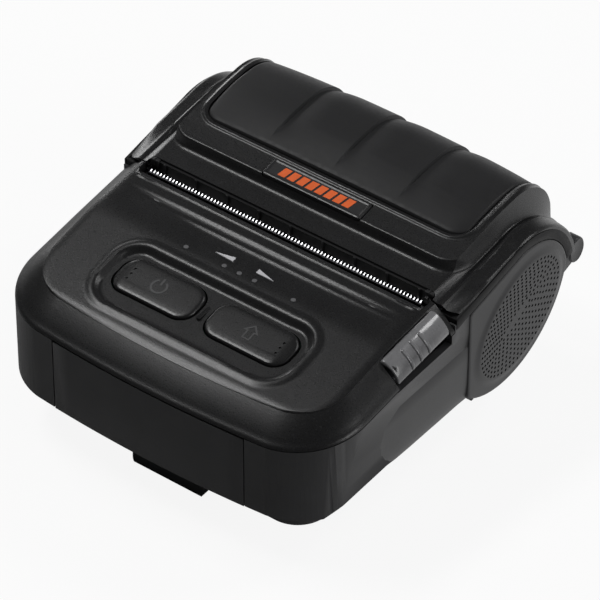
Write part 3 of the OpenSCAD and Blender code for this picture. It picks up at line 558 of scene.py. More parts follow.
def on_panel(x, y):
    return Matrix.Translation((x, y, plane(y))) @ Matrix.Rotation(math.radians(PANEL_TILT), 4, "X")


def button_outline(grow):
    return rounded(24.6 + grow, 11.2 + grow, 4.3 + grow / 2, steps=10)


def latch_turn():
    mid = Vector((0.0, -12.35, 34.0))
    return Matrix.Translation(mid) @ Matrix.Rotation(math.radians(4.7), 4, "X") @ Matrix.Translation(-mid)


def latch_pocket():
    """The space cut out of the cover's shoulder round the latch"""
    low, high = 20.0, 45.0
    front, rear = LATCH_LENGTH[0] - 0.3, LATCH_LENGTH[1] + 0.3
    block = prism("block", [(54, low), (45.2, low), (45.2, high), (54, high)], "Y", front, rear)
    round_end = prism("round_end", rounded(20, rear - front, 2.2, (55.2, (front + rear) / 2)), "Z", low, high)
    return move(combine(block, round_end, "INTERSECT"), latch_turn())


def front_cover():
    cover = cover_form("front_cover", 0.0, 0.0, True)
    cut(cover, cover_form("hollow", WALL, 0.6, False))
    for side in (-1, 1):
        hole = prism("hole", button_outline(0.9), "Z", -8.0, 4.0)
        cut(cover, move(hole, on_panel(side * KEY_X, KEY_Y)))
    for x in LAMPS:
        cut(cover, prism("lamp", circle((x, LAMP_Y), LAMP_RADIUS, 20), "Z", 28.0, 45.0))
    mouth = prism("mouth", [(-4.35, 45), (-4.35, PANEL_H - 0.4), (-2, PANEL_H - 1.75), (-2, 20), (4, 20),
                            (4, 45)], "X", -50, 50)
    mouth = combine(mouth, prism("ends", rounded(88, 20.6, 2.6, (0, 5.95)), "Z", 15, 50), "INTERSECT")
    cut(cover, mouth, latch_pocket())
    ledge = box("ledge", (-44, 44), (-5.6, -2.02), (34.3, PANEL_H - 1.9))
    bar = drop_in("bar", lambda g: rounded(1.2 - g, 5.0 - g, 0.5 - g / 2.2, (-0.2, -32.8)), [
        (0, plane(-32.8) - 2.2), (0, plane(-32.8) - 0.75), (0.3, plane(-32.8) - 0.6)])
    return together(cover, ledge, bar)


def panel_marks():
    """Two wedges for the battery's charge beside the middle lamps"""
    low, high = PANEL_H - 4.2, plane(-16) + 0.03
    left = prism("left", [(-9.5, -16.1), (-4.0, -16.4), (-4.0, -14.9)], "Z", low, high)
    right = prism("right", [(3.2, -14.9), (3.2, -16.3), (8.6, -16.3)], "Z", low, high)
    for ob in (left, right):
        for vertex in ob.data.vertices:
            lift = 0.03 if vertex.co.z > low + 1 else -0.3
            vertex.co.z = plane(vertex.co.y) + lift
    return together(left, right)


# Buttons and latch


def button(side):
    """A low key with a crisp edge, a wide bevel at its outer end and three dots"""
    rings = []
    levels = [(0.0, -2.0), (0.0, -0.62), (0.05, -0.5), (0.3, -0.22), (0.5, -0.14), (1.2, -0.09), (2.2, -0.07)]
    for inset, z in levels:
        ring = []
        for x, y in button_outline(-2 * inset):
            out = ease((x * side - 9.4) / 2.2) if inset > 0.04 else 0.0
            ring.append((x, y, z - 0.36 * out))
        rings.append(ring)
    key = tube("key", rings)
    dots = [prism("dot", circle((side * 8.6, k * 1.75), 0.36, 14), "Z", -0.4, 2) for k in (-1, 0, 1)]
    cut(key, *dots)
    stem = prism("stem", circle((0, 0), 1.6, 24), "Z", -4.8, -1.9)
    return move(together(key, stem), on_panel(side * KEY_X, KEY_Y))


def power_symbol():
    """A ring open at the top with an upright bar in the gap"""
    ring = arc((0, 0), 2.3, 122, 418, 40) + arc((0, 0), 1.75, 418, 122, 40)
    ring = prism("ring", ring, "Z", -0.35, -0.03)
    bar = prism("bar", [(-0.28, 0.5), (0.28, 0.5), (0.28, 2.7), (-0.28, 2.7)], "Z", -0.35, -0.03)
    return move(together(ring, bar), on_panel(-14.3, -32.3))


def feed_symbol():
    """An open arrow that points to the slot"""
    outer = [(0, 2.5), (2.3, 0.1), (1.15, 0.1), (1.15, -2.3), (-1.15, -2.3), (-1.15, 0.1), (-2.3, 0.1)]
    inner = [(0, 1.95), (1.35, 0.45), (0.8, 0.45), (0.8, -1.95), (-0.8, -1.95), (-0.8, 0.45), (-1.35, 0.45)]
    symbol = prism("arrow", outer, "Z", -0.35, -0.03)
    cut(symbol, prism("inner", inner, "Z", -1.0, 2.0))
    return move(symbol, on_panel(13.7, -32.3))


def latch():
    """Wrap-round slider with three finger ridges"""
    line = [(45.5, 36.7), (46.6, 36.95), (47.6, 36.6), (48.6, 35.85), (49.5, 34.9), (50.3, 33.9),
            (50.8, 32.9), (50.95, 31.5)]
    under = [(49.6, 31.5), (49.6, 33.8), (48.7, 34.95), (47.2, 35.55), (45.5, 35.75)]
    body = soften(prism("latch", line + under, "Y", *LATCH_LENGTH), 0.35, 3, 50)
    for k in (-1, 0, 1):
        y = -13.35 + 3.4 * k
        crest = [(46.9, 36.7), (48.0, 36.75), (49.3, 35.75), (50.4, 34.4), (51.15, 33.0), (51.2, 31.9),
                 (50.6, 31.9), (49.5, 33.2), (48.0, 35.2)]
        ridge = soften(prism("ridge", crest, "Y", y - 0.55, y + 0.55), 0.3, 3, 50)
        body = together(body, ridge)
    body = move(body, latch_turn())
    leg = box("leg", (46.3, 47.5), (-16.6, -15.2), (25.9, 35.0))
    rail = box("rail", (46.35, 49.6), (-16.6, -15.2), (32.6, 34.2))
    # Hides the spring from the front: a sheet that stands in for the shade in the notch, kept dark by the
    # latch's painted shade
    screen = box("screen", (45.8, 49.8), (-22.0, -21.65), (31.6, 35.2))
    return together(body, leg, rail, screen)


def tear_bar(pitch):
    """Serrated blade: a row of teeth that lean back over their web"""
    count = int(84.2 / pitch)
    left = -count * pitch / 2
    outline = [(left, -0.1)]
    for k in range(count):
        x = left + k * pitch
        outline += [(x + 0.15 * pitch, 0.0), (x + 0.46 * pitch, 1.05), (x + 0.54 * pitch, 1.05),
                    (x + 0.85 * pitch, 0.0)]
    outline.append((-left, -0.1))
    teeth = prism("teeth", outline[::-1], "Z", -0.3, 0.0)
    move(teeth, Matrix.Translation((0, -1.35, 36.85)) @ Matrix.Rotation(math.radians(26), 4, "X"))
    web = box("web", (left, -left), (-1.6, -1.36), (33.4, 36.7))
    foot = box("foot", (left, -left), (-5.2, -1.5), (33.4, 33.75))
    return together(teeth, web, foot)


# Lid: every section is a line from its front to its hinge, read off by its angle round a middle

MIDDLE = (31.1, 18.0)


def fan(points):
    """A line turned into (angle, distance) round the middle, with its long stretches divided"""
    out = []
    for (y0, z0), (y1, z1) in zip(points, points[1:]):
        steps = max(1, int(math.hypot(y1 - y0, z1 - z0) / 0.4))
        for k in range(steps):
            y, z = blend(y0, y1, k / steps) - MIDDLE[0], blend(z0, z1, k / steps) - MIDDLE[1]
            out.append((-math.degrees(math.atan2(z, y)), math.hypot(y, z)))
    return sorted(out)


CASE_LINE = fan([(-5, 32.85), (25.6, 38.9)] + arc((29.6, 18.5), 20.8, 101, -20, 60))
CHEEK_LINE = fan([(-5, 32.4), (0.6, 34.15), (13.6, 38.4)] + arc((30.6, 18), 22.3, 102, -20, 60))
SHOULDER_LINE = fan([(-5, 37.45), (14.1, 38.7)] + arc((31.1, 18), 22.6, 102, -20, 60))
PAD_END = [(52.2, 28.5), (52.3, 25), (52.3, 10)]


def pad_line(shift):
    """Section of the lid's raised middle, whose front step is moved back by shift"""
    back = [p for p in [(11.4, 42.4), (14.9, 42.95), (18.7, 43.6), (22.6, 44.2), (26.4, 44.85),
                        (30.4, 45.3)] if p[0] > 10.6 + shift]
    top = along([(9.9, 42.2), (18.7, 43.6), (22.6, 44.2)], 10.1 + shift)
    foot = 39.4 + 0.06 * shift
    steep = [(t, blend(foot, top, h)) for t, h in (
        (8.3, 0.0), (8.8, 0.06), (9.2, 0.22), (9.5, 0.5), (9.72, 0.78), (9.9, 0.93), (10.2, 1.0))]
    return fan([(-5, 38.2), (2.6, 38.75)] + [(t + shift, z) for t, z in steep] + back
               + arc((37.1, 30.2), 15.4, 96, 0, 60) + PAD_END)


def lid_rows():
    """Angles of the lid's rings, close together at its front step and bead"""
    spots = [-2 + 0.6 * k for k in range(17)] + [8.2 + 0.22 * k for k in range(50)]
    spots += [19.4 + 0.7 * k for k in range(22)]
    angles = []
    heights = [(y, z) for y, z in [(-5, 38.2), (2.6, 38.75), (8.3, 39.4), (9.9, 42.2), (18.7, 43.6),
                                   (22.6, 44.2), (26.4, 44.85), (30.4, 45.3), (35.5, 45.6)]]
    for y in spots:
        angles.append(-math.degrees(math.atan2(along(heights, y) - MIDDLE[1], y - MIDDLE[0])))
    angles += [-math.degrees(math.atan2(z - MIDDLE[1], y - MIDDLE[0]))
               for y, z in arc((37.1, 30.2), 15.4, 96, 2, 56)]
    angles += [-20, -14, -8, -2, 4, 9]
    return sorted(a for a in angles if -161 < a)


def lid_columns():
    xs = [1.2 * k for k in range(31)] + [37 + 0.4 * k for k in range(15)]
    xs += [43 + 0.22 * k for k in range(25)] + [48.4 + 0.35 * k for k in range(7)] + [50.8, 51.05]
    return [-x for x in xs[:0:-1]] + xs


def bead(x, run):
    """Rounded bead round the inset panel; run is the way along the lid from the panel's front"""
    d = -inside(x, run - 22.5, INSET_HALF, 22.5, 5.0)
    return 0.34 * math.cos(math.pi * (d - 1.15) / 1.7) ** 2 if abs(d - 1.15) < 0.85 else 0.0


def side_line(x, y):
    """Outward step at the line that bounds the trim on the lid's shoulder"""
    edge = along([(-5, 45.5), (12, 45.5), (14, 46.2), (16, 47.3), (22, 47.2), (36, 46.5), (41, 46.6),
                  (45.5, 47.5), (60, 47.5)], y)
    return -0.1 * max(0.0, 1 - abs(abs(x) - edge) / 0.34)


def lid_distance(x, angle, middle_line, run):
    """Distance of the lid's surface from its middle line of turning"""
    a = abs(x)
    shoulder = along(SHOULDER_LINE, angle)
    cheek = along(CHEEK_LINE, angle)
    y = MIDDLE[0] + shoulder * math.cos(math.radians(angle))
    r = shoulder
    if a > 45.1:
        share = 1 - (1 - (51.2 - a) / 6.1) ** 1.8
        r = blend(cheek, shoulder, share)
        if a > 50.3:
            r -= 0.5 * ((a - 50.3) / 0.9) ** 2
    if a > 43:
        r += side_line(x, y)
        r += 0.22 * math.exp(-((a - 46.6) / 0.6) ** 2) - 0.3 * math.exp(-((a - 45.3) / 0.7) ** 2)
    if a < 45.4:
        share = 1.0 if a < 43 else (1 - (a - 43) / 2.4) ** 2.2
        r = blend(r, along(middle_line, angle), share)
    if a < 44 and run is not None:
        r += bead(x, run)
    return r


def paper_lid():
    xs = lid_columns()
    angles = lid_rows()
    lines = {}
    for x in xs:
        give = max(0.0, abs(x) - (45.4 - 7.5))
        shift = 7.5 - math.sqrt(max(0.0, 7.5 ** 2 - min(give, 7.4) ** 2))
        lines[x] = pad_line(shift) if abs(x) < 45.4 else SHOULDER_LINE
    flat = pad_line(0.0)
    # Way along the lid from the inset panel's front edge
    spots = []
    for a in angles:
        r = along(flat, a)
        spots.append((MIDDLE[0] + r * math.cos(math.radians(a)), MIDDLE[1] - r * math.sin(math.radians(a))))
    runs, total = [], 0.0
    for k, (y, z) in enumerate(spots):
        if k:
            total += math.hypot(y - spots[k - 1][0], z - spots[k - 1][1])
        runs.append(total)
    zero = along([(y, r) for (y, z), r in zip(spots, runs)][:90], 18.0)
    rings = []
    for a, run in zip(angles, runs):
        cos, sin = math.cos(math.radians(a)), -math.sin(math.radians(a))
        case = along(CASE_LINE, a)
        ring = [(-51.2, case)]
        ring += [(x, max(case + 0.05, lid_distance(x, a, lines[x], run - zero))) for x in xs]
        ring += [(51.2, case)]
        deep = along(flat, a) - WALL
        if MIDDLE[0] + deep * cos < 4.6:
            deep = case
        deep = max(deep, case)
        ring += [(x, r) for x, r in ((46, case), (41.2, case), (41, deep), (20, deep), (0, deep), (-20, deep),
                                     (-41, deep), (-41.2, case), (-46, case))]
        rings.append([(x, MIDDLE[0] + r * cos, MIDDLE[1] + r * sin) for x, r in ring])
    lid = tube("paper_lid", rings)
    cut(lid, box("front", (-60, 60), (-20, 0.6), (10, 60)))
    slot = prism("slot", rounded(88, 12, 1.4, (0, -3.4)), "Z", 10, 60)
    cut(lid, slot)
    cut(lid, box("rear", (-60, 60), (30, 70), (0, 19.6)), box("back", (-60, 60), (52.2, 70), (0, 60)))
    for side in (-1, 1):
        x = sorted((side * 43.0, side * 60.0))
        cut(lid, box("corner", x, (40, 70), (0, 22.2)))
        x = sorted((side * 33.9, side * 39.0))
        cut(lid, prism("post", circle(HINGE, 2.7, 32), "X", *x))
    cut(lid, prism("platen_room", circle(PLATEN, 5.5, 48), "X", -42.2, 42.2))
    cut(lid, box("channel", (-43.4, 43.4), (4.7, 10.9), (20, 36.85)))
    for side in (-1, 1):
        x = sorted((side * 43.3, side * 47.4))
        cut(lid, box("ear", x, (3.5, 10.9), (20, 36.85)))
    cut(lid, prism("gear_room", circle(PLATEN, 5.85, 40), "X", -49.9, -44.6))
    # Seat of the inset panel
    floor = [(17.7, 60), (17.7, 42.4), (22.6, 43.2), (26.4, 43.85), (30.4, 44.3)]
    floor += arc((37.1, 30.2), 14.4, 98, 15.5, 40)
    floor += [(70, floor[-1][1]), (70, 60)]
    seat = prism("seat", floor, "X", -50, 50)
    seat = combine(seat, prism("plan", rounded(81.0, 60, 5.3, (0, 47.7)), "Z", 20, 60), "INTERSECT")
    cut(lid, seat)
    plate = prism("plate", rounded(30.5, 6.3, 0.8), "Z", -0.9, 3)
    cut(lid, move(plate, name_plate_turn()))
    barrel = rod("barrel", HINGE, 2.0, -34, 34)
    web = box("web", (-33.9, 33.9), (50.2, 52.0), (19.7, 24))
    bore = prism("bore", circle(HINGE, 1.06, 24), "X", -40, 40)
    return together(lid, cut(together(barrel, web), bore))


def name_plate_turn():
    return Matrix.Translation((0, 12.8, 42.42)) @ Matrix.Rotation(math.radians(8.5), 4, "X")


def name_plate():
    levels = [(0, -0.75), (0, 0.42), (0.12, 0.62), (0.38, 0.72), (0.62, 0.72), (0.8, 0.6), (1.1, 0.6)]

    def outline(inset):
        return rounded(30 - 2 * inset, 5.8 - 2 * inset, max(0.15, 0.7 - inset * 0.5))

    return move(drop_in("plate", outline, levels), name_plate_turn())


def plate_mark():
    """A plain row of slanted blocks on the name plate"""
    blocks = []
    for k in range(8):
        x = -11.2 + 2.8 * k
        block = [(x, -1.45), (x + 2.1, -1.45), (x + 2.7, 1.45), (x + 0.6, 1.45)]
        blocks.append(prism("block", block, "Z", 0.3, 0.66))
    return move(together(*blocks), name_plate_turn())


# Sections of the inset panel at its middle and at its ends
INSET_MIDDLE = [(17.9, 42.9), (17.95, 43.8), (18.2, 44.3), (18.8, 44.6), (21.0, 45.25), (22.6, 45.7),
                (25, 46.3), (27.6, 46.85), (30.2, 47.12), (32.6, 47.2), (35, 47.28)]
INSET_MIDDLE += arc((37.1, 31.1), 16.19, 90, 21, 36)
INSET_SIDE = [(17.9, 42.7), (17.95, 43.25), (18.2, 43.7), (18.8, 43.98), (21.0, 44.45), (22.6, 44.75),
              (25, 45.15), (27.6, 45.5), (30.2, 45.75), (32.6, 45.88), (35, 45.85)]
INSET_SIDE += arc((37.1, 30.3), 15.4, 90, 21, 36)
INSET_HALF = 40.2
GROOVES = (-19.6, 0.0, 19.6)


def groove(x, run):
    """Depth of the three grooves: sharp on the left, rising gently on the right"""
    depth = 0.0
    for line in GROOVES:
        t = x - line
        if -0.35 < t <= 0:
            depth = max(depth, 1 + t / 0.35)
        elif 0 < t < 8:
            depth = max(depth, (1 - t / 8) ** 2)
    return depth * 0.85 * ease((run - 3.0) / 9.0)


def inset_panel():
    """Crowned glossy panel with a rounded rim, lying in the lid's seat"""
    half = INSET_HALF
    xs = [-half + t for t in (0, .06, .2, .45, .8, 1.3, 2, 3, 4, 5)]
    steps = 128
    xs += [-35 + 70 * k / steps for k in range(1, steps)] + [-x for x in xs[::-1]]
    for line in GROOVES:
        xs += [line - 0.38, line - 0.25, line - 0.12, line, line + 0.1]
    xs = sorted(set(round(x, 3) for x in xs))
    count = len(INSET_MIDDLE)
    fine = 4
    rows = (count - 1) * fine
    under = [(17.95, 42.55), (22.6, 43.4), (26.4, 44.05), (30.4, 44.5)] + arc((37.1, 30.2), 14.6, 98, 18, 24)
    low = fan(under)
    run_of = [0.0]
    for k in range(1, count):
        run_of.append(run_of[-1] + math.dist(INSET_MIDDLE[k], INSET_MIDDLE[k - 1]))
    rings = []
    for j in range(rows + 1):
        k, t = min(j // fine, count - 2), j / fine - min(j // fine, count - 2)
        ring, base = [], []
        run = blend(run_of[k], run_of[k + 1], t)
        left = run_of[-1] - run
        for x in xs:
            share = 1 - (x / half) ** 2
            share = 0.75 * share + 0.25 * (1 - (x / half) ** 6)
            side = [blend(INSET_SIDE[k][n], INSET_SIDE[k + 1][n], t) for n in (0, 1)]
            mid = [blend(INSET_MIDDLE[k][n], INSET_MIDDLE[k + 1][n], t) for n in (0, 1)]
            y, z = blend(side[0], mid[0], share), blend(side[1], mid[1], share)
            # Corners of the front edge are round in plan
            back = max(0.0, abs(x) - (half - 5))
            y += (5 - math.sqrt(max(0.0, 25 - back * back))) * max(0.0, 1 - run / 16)
            edge = min(half - abs(x), left)
            sink = 0.7 * (1 - min(1.0, edge / 0.6)) ** 2 + groove(x, run) * min(1.0, edge / 2.0)
            dy, dz = y - MIDDLE[0], z - MIDDLE[1]
            length = math.hypot(dy, dz)
            angle = -math.degrees(math.atan2(dz, dy))
            floor = along(low, angle)
            outer = max(length - sink, floor + 0.1)
            ring.append((x, MIDDLE[0] + dy * outer / length, MIDDLE[1] + dz * outer / length))
            base.append((x, MIDDLE[0] + dy * floor / length, MIDDLE[1] + dz * floor / length))
        rings.append(ring + base[::-1])
    return tube("inset_panel", rings)


def lip_guide():
    strip = box("strip", (-43.5, 43.5), (1.95, 2.58), (34.5, 38.1))
    parts = [strip]
    for k in range(9):
        x = -39.2 + 9.8 * k
        parts.append(soften(box("fin", (x - 0.3, x + 0.3), (1.45, 2.1), (35.0, 38.35)), 0.15, 2))
    for side in (-1, 1):
        x = sorted((side * 41.0, side * 43.5))
        parts.append(soften(box("stop", x, (1.3, 2.55), (36.6, 38.75)), 0.3, 3))
        x = side * 42.25
        parts.append(soften(box("rib", (x - 0.2, x + 0.2), (1.1, 2.4), (36.9, 39.0)), 0.12, 2))
    return together(*parts)


# Side caps

CAP_MIDDLE = (27.2, 18.2)
GRILLE_TILT = math.radians(28)
HOLE_STEP = 1.72
HOLE_RINGS = 9


def cap_outline(grow, count=168):
    """Rim of a side cap as seen from its side, at even angles round the grille's centre"""
    cy, cz = CAP_MIDDLE
    lid = fan([(-5, 30.8), (25.95, 36.9)] + arc((29.6, 18.5), 18.78, 101, -40, 60))

    def within(y, z):
        if math.hypot(y - 22.2, z - 26.1) > 25.98 - grow or y < 6.22 + grow:
            return False
        angle = -math.degrees(math.atan2(z - MIDDLE[1], y - MIDDLE[0]))
        return not -165 < angle < 40 or math.hypot(y - MIDDLE[0], z - MIDDLE[1]) < along(lid, angle) - grow

    out = []
    for k in range(count):
        a = 2 * math.pi * k / count
        low, high = 1.0, 40.0
        for _ in range(22):
            mid = (low + high) / 2
            low, high = (mid, high) if within(cy + mid * math.cos(a), cz + mid * math.sin(a)) else (low, mid)
        out.append((cy + low * math.cos(a), cz + low * math.sin(a)))
    return out


def oval(scale, count=168):
    """The raised oval of the grille, at the same angles as the rim"""
    out = []
    for k in range(count):
        a = 2 * math.pi * k / count
        r = scale / math.hypot(math.cos(a - GRILLE_TILT) / 18.1, math.sin(a - GRILLE_TILT) / 13.6)
        out.append((CAP_MIDDLE[0] + r * math.cos(a), CAP_MIDDLE[1] + r * math.sin(a)))
    return out


def hole_ring(k):
    """Sound holes of one of nine nested ovals, the inner ones nearer their own centre"""
    s = k / 9.2
    a, b = blend(17.0, 5.5, s), 12.5 * (1 - s)
    cy, cz = blend(CAP_MIDDLE[0], 25.1, s), blend(CAP_MIDDLE[1], 19.2, s)
    cos, sin = math.cos(GRILLE_TILT), math.sin(GRILLE_TILT)

    def at(q):
        u, v = a * math.cos(math.radians(q)), b * math.sin(math.radians(q))
        return cy + u * cos - v * sin, cz + u * sin + v * cos

    out = []
    for first, last in ((-55, 75), (75, 305)):
        points = [at(blend(first, last, i / 400)) for i in range(401)]
        runs = [0.0]
        for i in range(1, 401):
            runs.append(runs[-1] + math.dist(points[i], points[i - 1]))
        count = max(1, round(runs[-1] / HOLE_STEP))
        out += [points[bisect(runs, runs[-1] * n / count + 1e-9) - 1] for n in range(count)]
    return out


def side_cap(radius):
    rim = cap_outline(0.0)
    rings = [[(50.46, y, z) for y, z in rim], [(51.15, y, z) for y, z in rim]]
    for grow, x in ((0.1, 51.35), (0.35, 51.47), (0.8, 51.5)):
        rings.append([(x, y, z) for y, z in cap_outline(grow)])
    for scale, x in ((1.13, 51.5), (1.09, 51.56), (1.05, 51.7), (1.02, 51.84), (1.0, 51.93), (0.97, 51.985),
                     (0.93, 52.0)):
        rings.append([(x, y, z) for y, z in oval(scale)])
    cap = tube("side_cap", rings)
    drills = [prism("drill", circle(p, radius, 10), "X", 49, 53)
              for k in range(HOLE_RINGS) for p in hole_ring(k)]
    return combine(cap, together(*drills))


def carried(node):
    """A copy of a CAD part in this file's millimetres, with its doubled points merged"""
    source = frame["nodes"][node]
    ob = bpy.data.objects.new(node + "_copy", source.data.copy())
    bpy.context.collection.objects.link(ob)
    ob.data.transform(Matrix.Scale(1000.0, 4) @ Matrix.Translation(-SLOT) @ source.matrix_world)
    return sealed(ob, 0.002)


def lower_case():
    """The case, whose plain strap ears make room for round ones"""
    case = carried("lower_case")
    for side in (-1, 1):
        cut(case, box("ear", sorted((side * 43.3, side * 48.5)), (51.4, 64.0), (4.0, 21.0)))
    return case


def battery():
    return soften(carried("battery_case"), 0.25, 2, 50, clamp=True)


def lid_trim():
    """Black edge of the lid that runs round a side cap, outside the case's wall, and its front corner"""
    lower = [(0.65, 32.1), (25.95, 37.05)] + arc((29.6, 18.5), 18.93, 100, 12, 44)
    upper = [(0.65, 35.1), (25.6, 39.6)] + arc((29.6, 18.5), 21.5, 100, 12, 44)
    trim = soften(prism("trim", lower + upper[::-1], "X", 50.5, 51.36), 0.12, 2)
    return together(trim, soften(box("cheek", (45.8, 51.2), (0.65, 3.2), (32.05, 35.2)), 0.2, 2))


def side_skirt():
    """Fairing between the case's side, its underside and the round end"""
    # The height of its foot at places along the case
    stations = [(-35, 3.7), (-31, 3.65), (-27, 3.6), (-22, 3.5), (-16, 3.35), (-10, 3.15), (-4, 2.9),
                (1, 2.75), (4, 2.65), (7, 2.4), (10, 1.95), (13, 1.3), (16, 0.75), (19, 0.4)]
    # Its section as (x on the case, x when it stands out in full, height over the foot)
    section = [(44.0, 44.0, 0.3), (46.6, 46.2, 0.0), (47.8, 47.8, 0.25), (48.3, 49.0, 0.9),
               (48.55, 49.9, 1.9), (48.75, 50.5, 3.2), (49.3, 50.85, 5.2), (49.9, 51.0, 8.0),
               (50.3, 51.05, 11.5), (50.6, 51.08, 16.0), (50.75, 51.0, 20.0), (50.4, 50.4, 21.0),
               (49.0, 49.0, 20.0), (44.0, 44.0, 6.0)]
    rings = []
    for y, low in stations:
        part = ease((y + 35) / 16)
        rings.append([(blend(case - 0.12, full, part), y, low + up) for case, full, up in section])
    return tube("skirt", rings)


def strap_end():
    """Ear that carries the strap bar, with a lens-shaped end"""
    levels = ((43.7, 0.5), (43.9, 0.15), (44.2, 0.0), (46.9, 0.0), (47.4, 0.12), (47.65, 0.4), (47.55, 0.9))
    middle, wide, tall, count = (58.5, 16.2), 3.15, 3.75, 48
    rings = []
    for x, give in levels:
        ring = []
        for k in range(count):
            a = 2 * math.pi * k / count
            ring.append((x, middle[0] + (wide - give) * math.cos(a), middle[1] + (tall - give) * math.sin(a)))
        rings.append(ring)
    web = prism("web", [(47.0, 10.6), (50.3, 10.9), (56.6, 12.8), (59.0, 13.4), (59.0, 18.8), (56.8, 18.8),
                        (52.6, 17.2), (47.0, 17.2)], "X", 43.9, 47.2)
    return together(tube("strap_end", rings), soften(web, 0.3, 2))


# Stage

# Pixels of the photograph to a millimetre at the point that the camera is aimed at
SCALE = 4.07


def camera():
    """The photograph's view: 37 degrees round from the front and 41 degrees up, with a long lens"""
    a, e = math.radians(37.0), math.radians(41.04)
    focal, pixels = 4782.0, 600.0
    back = Vector((math.sin(a) * math.cos(e), -math.cos(a) * math.cos(e), math.sin(e)))
    right = Vector((math.cos(a), math.sin(a), 0.0))
    up = back.cross(right)
    distance = focal / SCALE
    aim = Vector((0.0, -1.9, 49.2))
    shift = right * (287.6 - 300.0) - up * (228.3 - 300.0)
    spot = aim + back * distance - shift * (distance / focal)
    start()
    bpy.ops.object.camera_add()
    ob = bpy.context.object
    ob.data.sensor_width = 36.0
    ob.data.lens = 36.0 * focal / pixels
    ob.data.clip_end = 20.0
    turn = Matrix((right, up, back)).transposed().to_4x4()
    ob.matrix_world = Matrix.Translation(spot * 0.001) @ turn
    bpy.context.scene.camera = ob


def lamp(name, spot, aim, size, power):
    start()
    bpy.ops.object.light_add(type="AREA", location=spot)
    ob = bpy.context.object
    ob.name = name
    ob.data.shape = "RECTANGLE"
    ob.data.size, ob.data.size_y = size
    ob.data.energy = power
    ob.rotation_euler = (Vector(spot) - Vector(aim)).to_track_quat("Z", "Y").to_euler()
    return ob


def floor():
    """A pale floor that keeps the shadow; reflections show it palest behind and to the right"""
    start()
    bpy.ops.mesh.primitive_circle_add(vertices=96, radius=1.6, fill_type="NGON", location=(0, 0, 0))
    ob = bpy.context.object
    ob.name = "floor"
    shade = Shade("white_floor")
    tree = shade.tree
    spot = shade.place()
    cloud = shade.noise(spot, 0.004, 2.0)
    seen, glossy, passed = [shade.node("ShaderNodeLightPath", {}, [], out=k) for k in (0, 3, 6)]
    tone = shade.mix(cloud.step(0.3, 0.7), grey(0.42, 1.0), grey(0.45, 1.0))
    shade.set(Base_Color=shade.mix(seen, tone, grey(0.95, 1.0)), Roughness=0.9, Specular_IOR_Level=0.0)
    glow = tree.nodes.new("ShaderNodeEmission")
    glow.inputs["Strength"].default_value = 1.0
    x, y = spot.part("X"), spot.part("Y")
    behind = x.step(30.0, 62.0) * y.step(-80.0, -5.0) + y.step(60.0, 160.0)
    factor = seen.math("MAXIMUM", passed) * 0.9 + glossy * behind * 0.9
    mixer = tree.nodes.new("ShaderNodeMixShader")
    tree.links.new(factor.math("MINIMUM", 0.95).socket, mixer.inputs[0])
    tree.links.new(shade.surface.outputs[0], mixer.inputs[1])
    tree.links.new(glow.outputs[0], mixer.inputs[2])
    output = next(n for n in tree.nodes if n.type == "OUTPUT_MATERIAL")
    tree.links.new(mixer.outputs[0], output.inputs[0])
    ob.data.materials.append(shade.material)


def sky():
    """A dim room whose walls are white to the camera and, near the floor, in reflections"""
    world = bpy.data.worlds.new("studio")
    bpy.context.scene.world = world
    world.use_nodes = True
    tree = world.node_tree
    shade = Shade.over(tree)
    plain = tree.nodes["Background"]
    plain.inputs[0].default_value = (1, 1, 1, 1)
    plain.inputs[1].default_value = 0.07
    white = tree.nodes.new("ShaderNodeBackground")
    seen, glossy, passed = [shade.node("ShaderNodeLightPath", {}, [], out=k) for k in (0, 3, 6)]
    way = shade.node("ShaderNodeTexCoord", {}, [], out=0)
    low = (1 - way.part("Z").step(0.03, 0.3)) * way.part("Y").step(-0.3, 0.3)
    factor = seen.math("MAXIMUM", passed).math("MAXIMUM", glossy * low * 0.8)
    mixer = tree.nodes.new("ShaderNodeMixShader")
    tree.links.new(factor.socket, mixer.inputs[0])
    tree.links.new(plain.outputs[0], mixer.inputs[1])
    tree.links.new(white.outputs[0], mixer.inputs[2])
    tree.links.new(mixer.outputs[0], tree.nodes["World Output"].inputs[0])


# Finishes, by material slot


def case_plastic(look):
    return moulded("case_plastic", look.case_level, look.case_rough, grain=0.008, pitch=0.25, shine=0.26)


def cover_plastic(look):
    """Speckled satin black, with fine ribs on the slope that leads into the paper slot"""
    shade = Shade("cover_plastic")
    spot = shade.place()
    rough = look.cover_rough
    fine = shade.noise(spot, 3.2, 2.0, 0.6)
    cloud = shade.noise(spot, 0.06, 3.0)
    spark = shade.noise(spot, 2.4, 1.0, 0.4).step(0.6, 0.72)
    level = look.cover_level
    x, y = spot.part("X"), spot.part("Y")
    sloped = y.step(-4.6, -4.3) * (1 - y.step(-2.1, -1.9)) * (1 - x.math("ABSOLUTE").step(43.0, 43.8))
    tone = shade.mix(cloud.step(0.3, 0.7), grey(level * 0.9), grey(level * 1.1))
    tone = shade.mix(spark * 0.35, tone, grey(level * 4))
    tone = shade.mix(sloped, tone, grey(level * 3))
    rib = shade.node("ShaderNodeMath", {"operation": "PINGPONG"}, [x, 0.5])
    ribs = shade.bump(rib * sloped, 0.7)
    skin = shade.node("ShaderNodeBump", {}, {
        "Strength": 1.0, "Distance": 0.000026, "Height": fine, "Normal": ribs})
    return shade.set(
        Base_Color=tone, Roughness=fine.step(0.2, 0.8, rough - 0.05, rough + 0.06), Normal=skin,
        Specular_IOR_Level=0.36)


def gloss_plastic(look):
    return moulded("gloss_plastic", look.gloss_level, look.gloss_rough, grain=0.002, pitch=1.2, shine=0.2)


